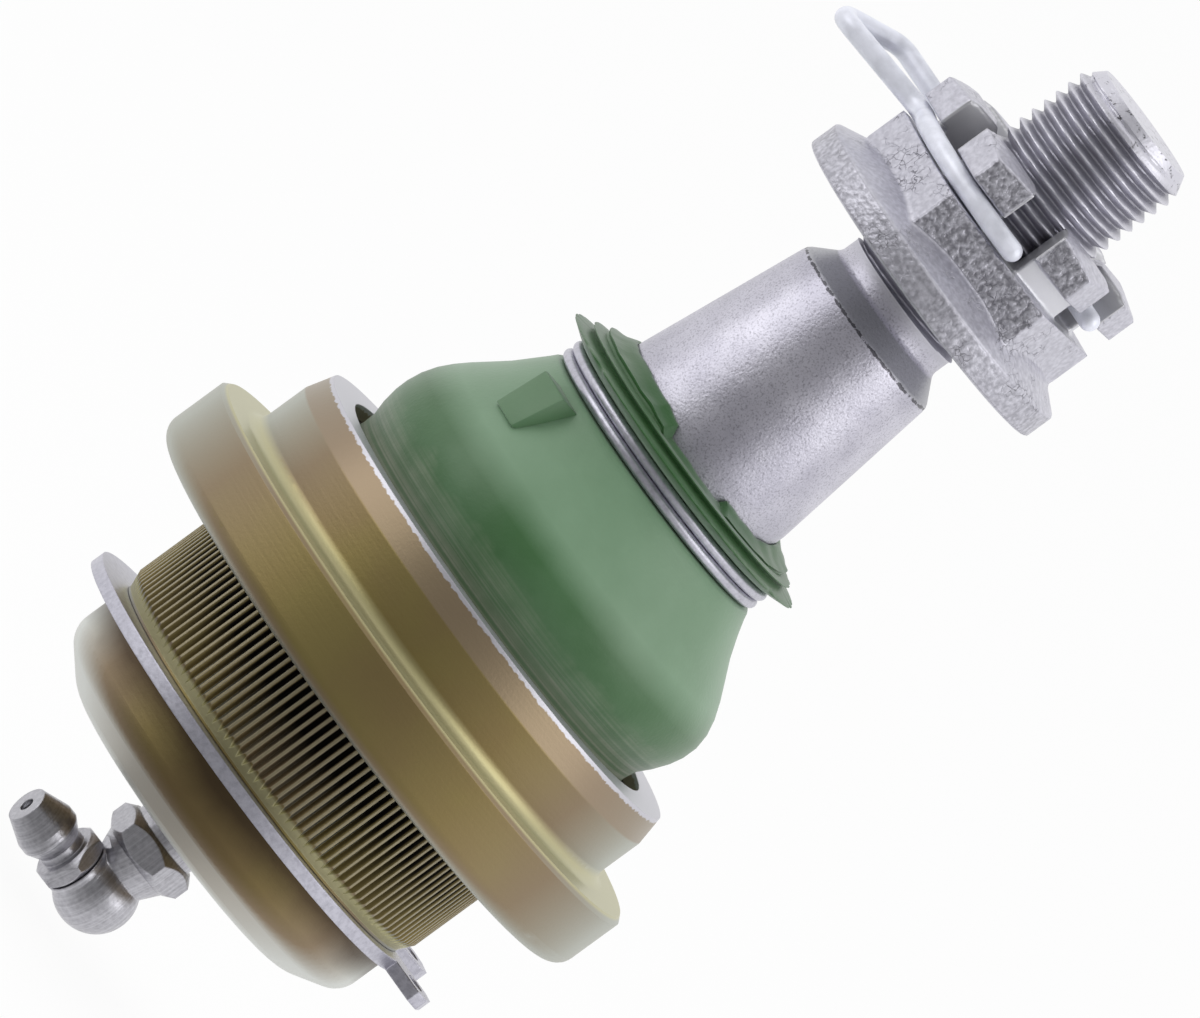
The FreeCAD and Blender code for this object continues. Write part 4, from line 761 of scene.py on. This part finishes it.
depth = add(tree, "MapRange", {0: pitted, 3: SMOOTH_RELIEF, 4: COARSE_RELIEF}).outputs[0]
relief = add(tree, "Math", {0: bumps, 1: coarse}, operation="MULTIPLY").outputs[0]
relief = add(tree, "Math", {0: relief, 1: depth}, operation="MULTIPLY").outputs[0]
relief = add(tree, "Math", {0: relief, 1: cracks}, operation="SUBTRACT").outputs[0]
bump = add(tree, "Bump", {"Strength": 0.8, "Distance": 0.2 * MM, "Height": relief})
tree.links.new(bump.outputs[0], shader.inputs["Normal"])
paint(nut, finish)
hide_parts("castle_nut")
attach(nut, "stud")


# Locking clip
# Drawn spring steel wire, bent round an eye and galvanised: one leg goes through the stud's cross hole,
# the other lies in the nut's groove.
WIRE_SILVER = "#F0F2FD"
WIRE_SMUDGE = "#D2D4DE"
# Repeats per millimetre: smudges of about 3 mm, and a grain of 0.5 mm, which is drawn coarser than it is so
# that it shows.
SMUDGES_PER_MM = 0.35
WIRE_GRAIN_PER_MM = 2.0

# Smooth, dull silver wire with faint grey smudges.
finish, tree, shader, place = new_finish("galvanised_spring_wire", 0.3, 0.42)
mottle = add(tree, "TexNoise", {"Vector": place, "Scale": SMUDGES_PER_MM / MM, "Detail": 4.0}).outputs["Fac"]
smudged = add(tree, "MapRange", {0: mottle, 1: 0.42, 2: 0.7}).outputs[0]
colour = add(tree, "Mix", {0: smudged, 6: linear(WIRE_SILVER), 7: linear(WIRE_SMUDGE)},
             data_type="RGBA").outputs[2]
tree.links.new(colour, shader.inputs["Base Color"])
grain = add(tree, "TexNoise", {"Vector": place, "Scale": WIRE_GRAIN_PER_MM / MM,
                               "Detail": 2.0}).outputs["Fac"]
bump = add(tree, "Bump", {"Strength": 0.25, "Distance": 0.04 * MM, "Height": grain})
tree.links.new(bump.outputs[0], shader.inputs["Normal"])
paint(nodes["lock_pin"], finish)


# Grease fitting
# Turned steel elbow with a hexagon, screwed into the dome, and the nipple in its side; both zinc plated.
# A small ball on a coil spring shuts the nipple.
FITTING_GREY = "#BAB9BF"
FITTING_STAIN = "#97969C"
FITTING_BRIGHT = "#D4D4DA"
VALVE_GREY = "#C9CACE"
VALVE_BRIGHT = "#E9EAEC"
BRUSHED_SHARE = 0.45
# Repeats per millimetre: stains of about 0.5 mm, and brush marks of 0.3 mm, drawn coarser than they are.
FITTING_STAINS_PER_MM = 2.0
BRUSH_MARKS_PER_MM = 3.5
VALVE_MARKS_PER_MM = 2.0
ELBOW_LEVEL = -32.8 * MM
NIPPLE_DIRECTION = math.radians(204)
nipple_axis = Vector((math.cos(NIPPLE_DIRECTION), math.sin(NIPPLE_DIRECTION), 0.0))

# Bright turned steel under thin zinc: soft highlights broken by brush marks round the nipple's axis.
finish, tree, shader, place = new_finish("turned_zinc_plated_steel", 0.95, 0.31)
marks = add(tree, "TexNoise", {"Vector": place, "Scale": FITTING_STAINS_PER_MM / MM, "Detail": 4.0,
                               "Roughness": 0.6}).outputs["Fac"]
stained = add(tree, "MapRange", {0: marks, 1: 0.3, 2: 0.75}).outputs[0]
colour = add(tree, "Mix", {0: stained, 6: linear(FITTING_GREY), 7: linear(FITTING_STAIN)},
             data_type="RGBA").outputs[2]
from_ball = add(tree, "VectorMath", {0: place, 1: (0.0, 0.0, ELBOW_LEVEL)}, operation="SUBTRACT").outputs[0]
along = add(tree, "VectorMath", {0: from_ball, 1: nipple_axis}, operation="DOT_PRODUCT").outputs["Value"]
round_place = add(tree, "CombineXYZ", {0: along}).outputs[0]
brushed = add(tree, "TexNoise", {"Vector": round_place, "Scale": BRUSH_MARKS_PER_MM / MM,
                                 "Detail": 3.0}).outputs["Fac"]
worn = add(tree, "MapRange", {0: brushed, 1: 0.4, 2: 0.62, 4: BRUSHED_SHARE}).outputs[0]
colour = add(tree, "Mix", {0: worn, 6: colour, 7: linear(FITTING_BRIGHT)}, data_type="RGBA").outputs[2]
tree.links.new(colour, shader.inputs["Base Color"])
relief = add(tree, "Math", {0: brushed, 1: marks}, operation="ADD").outputs[0]
soft_edge = add(tree, "Bevel", {"Radius": 0.25 * MM}, samples=6).outputs[0]
bump = add(tree, "Bump", {"Strength": 0.55, "Distance": 0.07 * MM, "Height": relief, "Normal": soft_edge})
tree.links.new(bump.outputs[0], shader.inputs["Normal"])
for name in ("grease_elbow", "grease_nipple"):
    paint(nodes[name], finish)

# Pale polished steel. The spring is a copy of the solid.
finish, tree, shader, place = new_finish("polished_valve_steel", 0.5, 0.35)
marks = add(tree, "TexNoise", {"Vector": place, "Scale": VALVE_MARKS_PER_MM / MM,
                               "Detail": 2.0}).outputs["Fac"]
colour = add(tree, "Mix", {0: marks, 6: linear(VALVE_GREY), 7: linear(VALVE_BRIGHT)},
             data_type="RGBA").outputs[2]
tree.links.new(colour, shader.inputs["Base Color"])
spring = bpy.data.objects.new("nipple_spring", nodes["valve_spring"].data.copy())
bpy.context.scene.collection.objects.link(spring)
for piece in (nodes["valve_ball"], spring):
    paint(piece, finish)
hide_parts("valve_spring")
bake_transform(spring)


# Floor, light and camera
# A white floor keeps a soft shadow. The joint hangs in a white tent that is open, and so darker, towards the
# camera; two large soft lamps stand at the upper left and at the right.
# The camera is far away and turned, so the stud points to the upper right.
FLOOR_LEVEL = cad_low.z - 1.2 * MM
FLOOR_HALF = 30.0
FLOOR_GLOW = 0.93
FLOOR_GREY = (0.85, 0.85, 0.85, 1.0)
WHITE = (1.0, 1.0, 1.0, 1.0)
TENT_BRIGHT = 1.0
TENT_OPENING = 0.26
TENT_EDGE = 0.2
TENT_MIDDLE = 0.9
TENT_RAISED = 0.35
CAMERA_ELEVATION = math.radians(5.3)
CAMERA_ROLL = math.radians(36.15)
CAMERA_DISTANCE = 4.0
PICTURE_WIDTH = 120.6 * MM
SENSOR_WIDTH = 36.0
CAMERA_CLIP_END = 100.0
FLANGE_MIDDLE = Vector((0.0, 0.0, 7.87 * MM))
AIM_RIGHT = 17.99 * MM
AIM_UP = 14.47 * MM
LAMP_DISTANCE = 1.2
LAMP_WIDTH = 1.0
LAMP_ASIDE = 0.35
LAMP_FORWARD = 0.5
KEY_POWER = 4.5
FILL_POWER = 4.0
towards_camera = Vector((0.0, -math.cos(CAMERA_ELEVATION), math.sin(CAMERA_ELEVATION)))
along_stud = Vector((0.0, math.sin(CAMERA_ELEVATION), math.cos(CAMERA_ELEVATION)))
sideways = Vector((1.0, 0.0, 0.0))
image_right = math.cos(CAMERA_ROLL) * along_stud + math.sin(CAMERA_ROLL) * sideways
image_up = math.sin(CAMERA_ROLL) * along_stud - math.cos(CAMERA_ROLL) * sideways
aim = FLANGE_MIDDLE + AIM_RIGHT * image_right + AIM_UP * image_up
opening = (towards_camera + TENT_RAISED * image_up).normalized()


def tent_brightness(tree, direction):
    """Brightness of the tent in a direction: dark in its opening and white elsewhere."""
    ahead = add(tree, "VectorMath", {0: direction, 1: opening}, operation="DOT_PRODUCT").outputs["Value"]
    tent = add(tree, "MapRange", {0: ahead, 1: TENT_EDGE, 2: TENT_MIDDLE, 3: TENT_BRIGHT, 4: TENT_OPENING})
    rays = add(tree, "LightPath").outputs
    return add(tree, "Mix", {0: rays["Is Camera Ray"], 2: tent.outputs[0], 3: 1.0}).outputs[0]


mesh = bpy.data.meshes.new("floor")
corners = [(x * FLOOR_HALF, y * FLOOR_HALF, FLOOR_LEVEL) for x, y in ((-1, -1), (1, -1), (1, 1), (-1, 1))]
mesh.from_pydata(corners, [], [(0, 1, 2, 3)])
floor = bpy.data.objects.new("floor", mesh)
bpy.context.scene.collection.objects.link(floor)

# Matt white board: it keeps the shadow, and the camera and glossy metal see it lit as the tent is.
finish = bpy.data.materials.new("white_floor")
finish.use_nodes = True
tree = finish.node_tree
tree.nodes.clear()
rays = add(tree, "LightPath").outputs
seen = add(tree, "Math", {0: rays["Is Camera Ray"], 1: rays["Is Glossy Ray"]}, operation="MAXIMUM").outputs[0]
seen = add(tree, "Math", {0: seen, 1: rays["Is Transmission Ray"]}, operation="MAXIMUM").outputs[0]
share = add(tree, "Math", {0: seen, 1: FLOOR_GLOW}, operation="MULTIPLY").outputs[0]
matt = add(tree, "BsdfDiffuse", {"Color": FLOOR_GREY}).outputs[0]
place = add(tree, "TexCoord").outputs["Object"]
from_ball = add(tree, "VectorMath", {0: place, 1: (0.0, 0.0, ELBOW_LEVEL)}, operation="SUBTRACT").outputs[0]
direction = add(tree, "VectorMath", {0: from_ball}, operation="NORMALIZE").outputs[0]
strength = tent_brightness(tree, direction)
glow = add(tree, "Emission", {"Color": WHITE, "Strength": strength}).outputs[0]
surface = add(tree, "MixShader", {0: share, 1: matt, 2: glow}).outputs[0]
add(tree, "OutputMaterial", {"Surface": surface})
floor.data.materials.append(finish)

world = bpy.data.worlds.new("studio")
bpy.context.scene.world = world
world.use_nodes = True
tree = world.node_tree
tree.nodes.clear()
direction = add(tree, "TexCoord").outputs["Generated"]
strength = tent_brightness(tree, direction)
sky = add(tree, "Background", {"Color": WHITE, "Strength": strength}).outputs[0]
add(tree, "OutputWorld", {"Surface": sky})


def soft_lamp(name, direction, distance, width, power):
    """Large square soft lamp that faces the middle of the joint."""
    lamp = bpy.data.lights.new(name, "AREA")
    lamp.size = width
    lamp.energy = power
    stand = bpy.data.objects.new(name, lamp)
    bpy.context.scene.collection.objects.link(stand)
    stand.location = aim + direction.normalized() * distance
    stand.rotation_euler = direction.to_track_quat("Z", "Y").to_euler()


upper_left = image_up - image_right * LAMP_ASIDE + towards_camera * LAMP_FORWARD
right = image_right - image_up * LAMP_ASIDE + towards_camera * LAMP_FORWARD
soft_lamp("key", upper_left, LAMP_DISTANCE, LAMP_WIDTH, KEY_POWER)
soft_lamp("fill", right, LAMP_DISTANCE, LAMP_WIDTH, FILL_POWER)

camera = bpy.data.cameras.new("camera")
camera.sensor_width = SENSOR_WIDTH
camera.lens = SENSOR_WIDTH * CAMERA_DISTANCE / PICTURE_WIDTH
camera.clip_end = CAMERA_CLIP_END
view = bpy.data.objects.new("camera", camera)
bpy.context.scene.collection.objects.link(view)
view.rotation_euler = Matrix((image_right, image_up, towards_camera)).transposed().to_euler()
view.location = aim + towards_camera * CAMERA_DISTANCE
bpy.context.scene.camera = view
bpy.context.scene.view_settings.view_transform = "Standard"
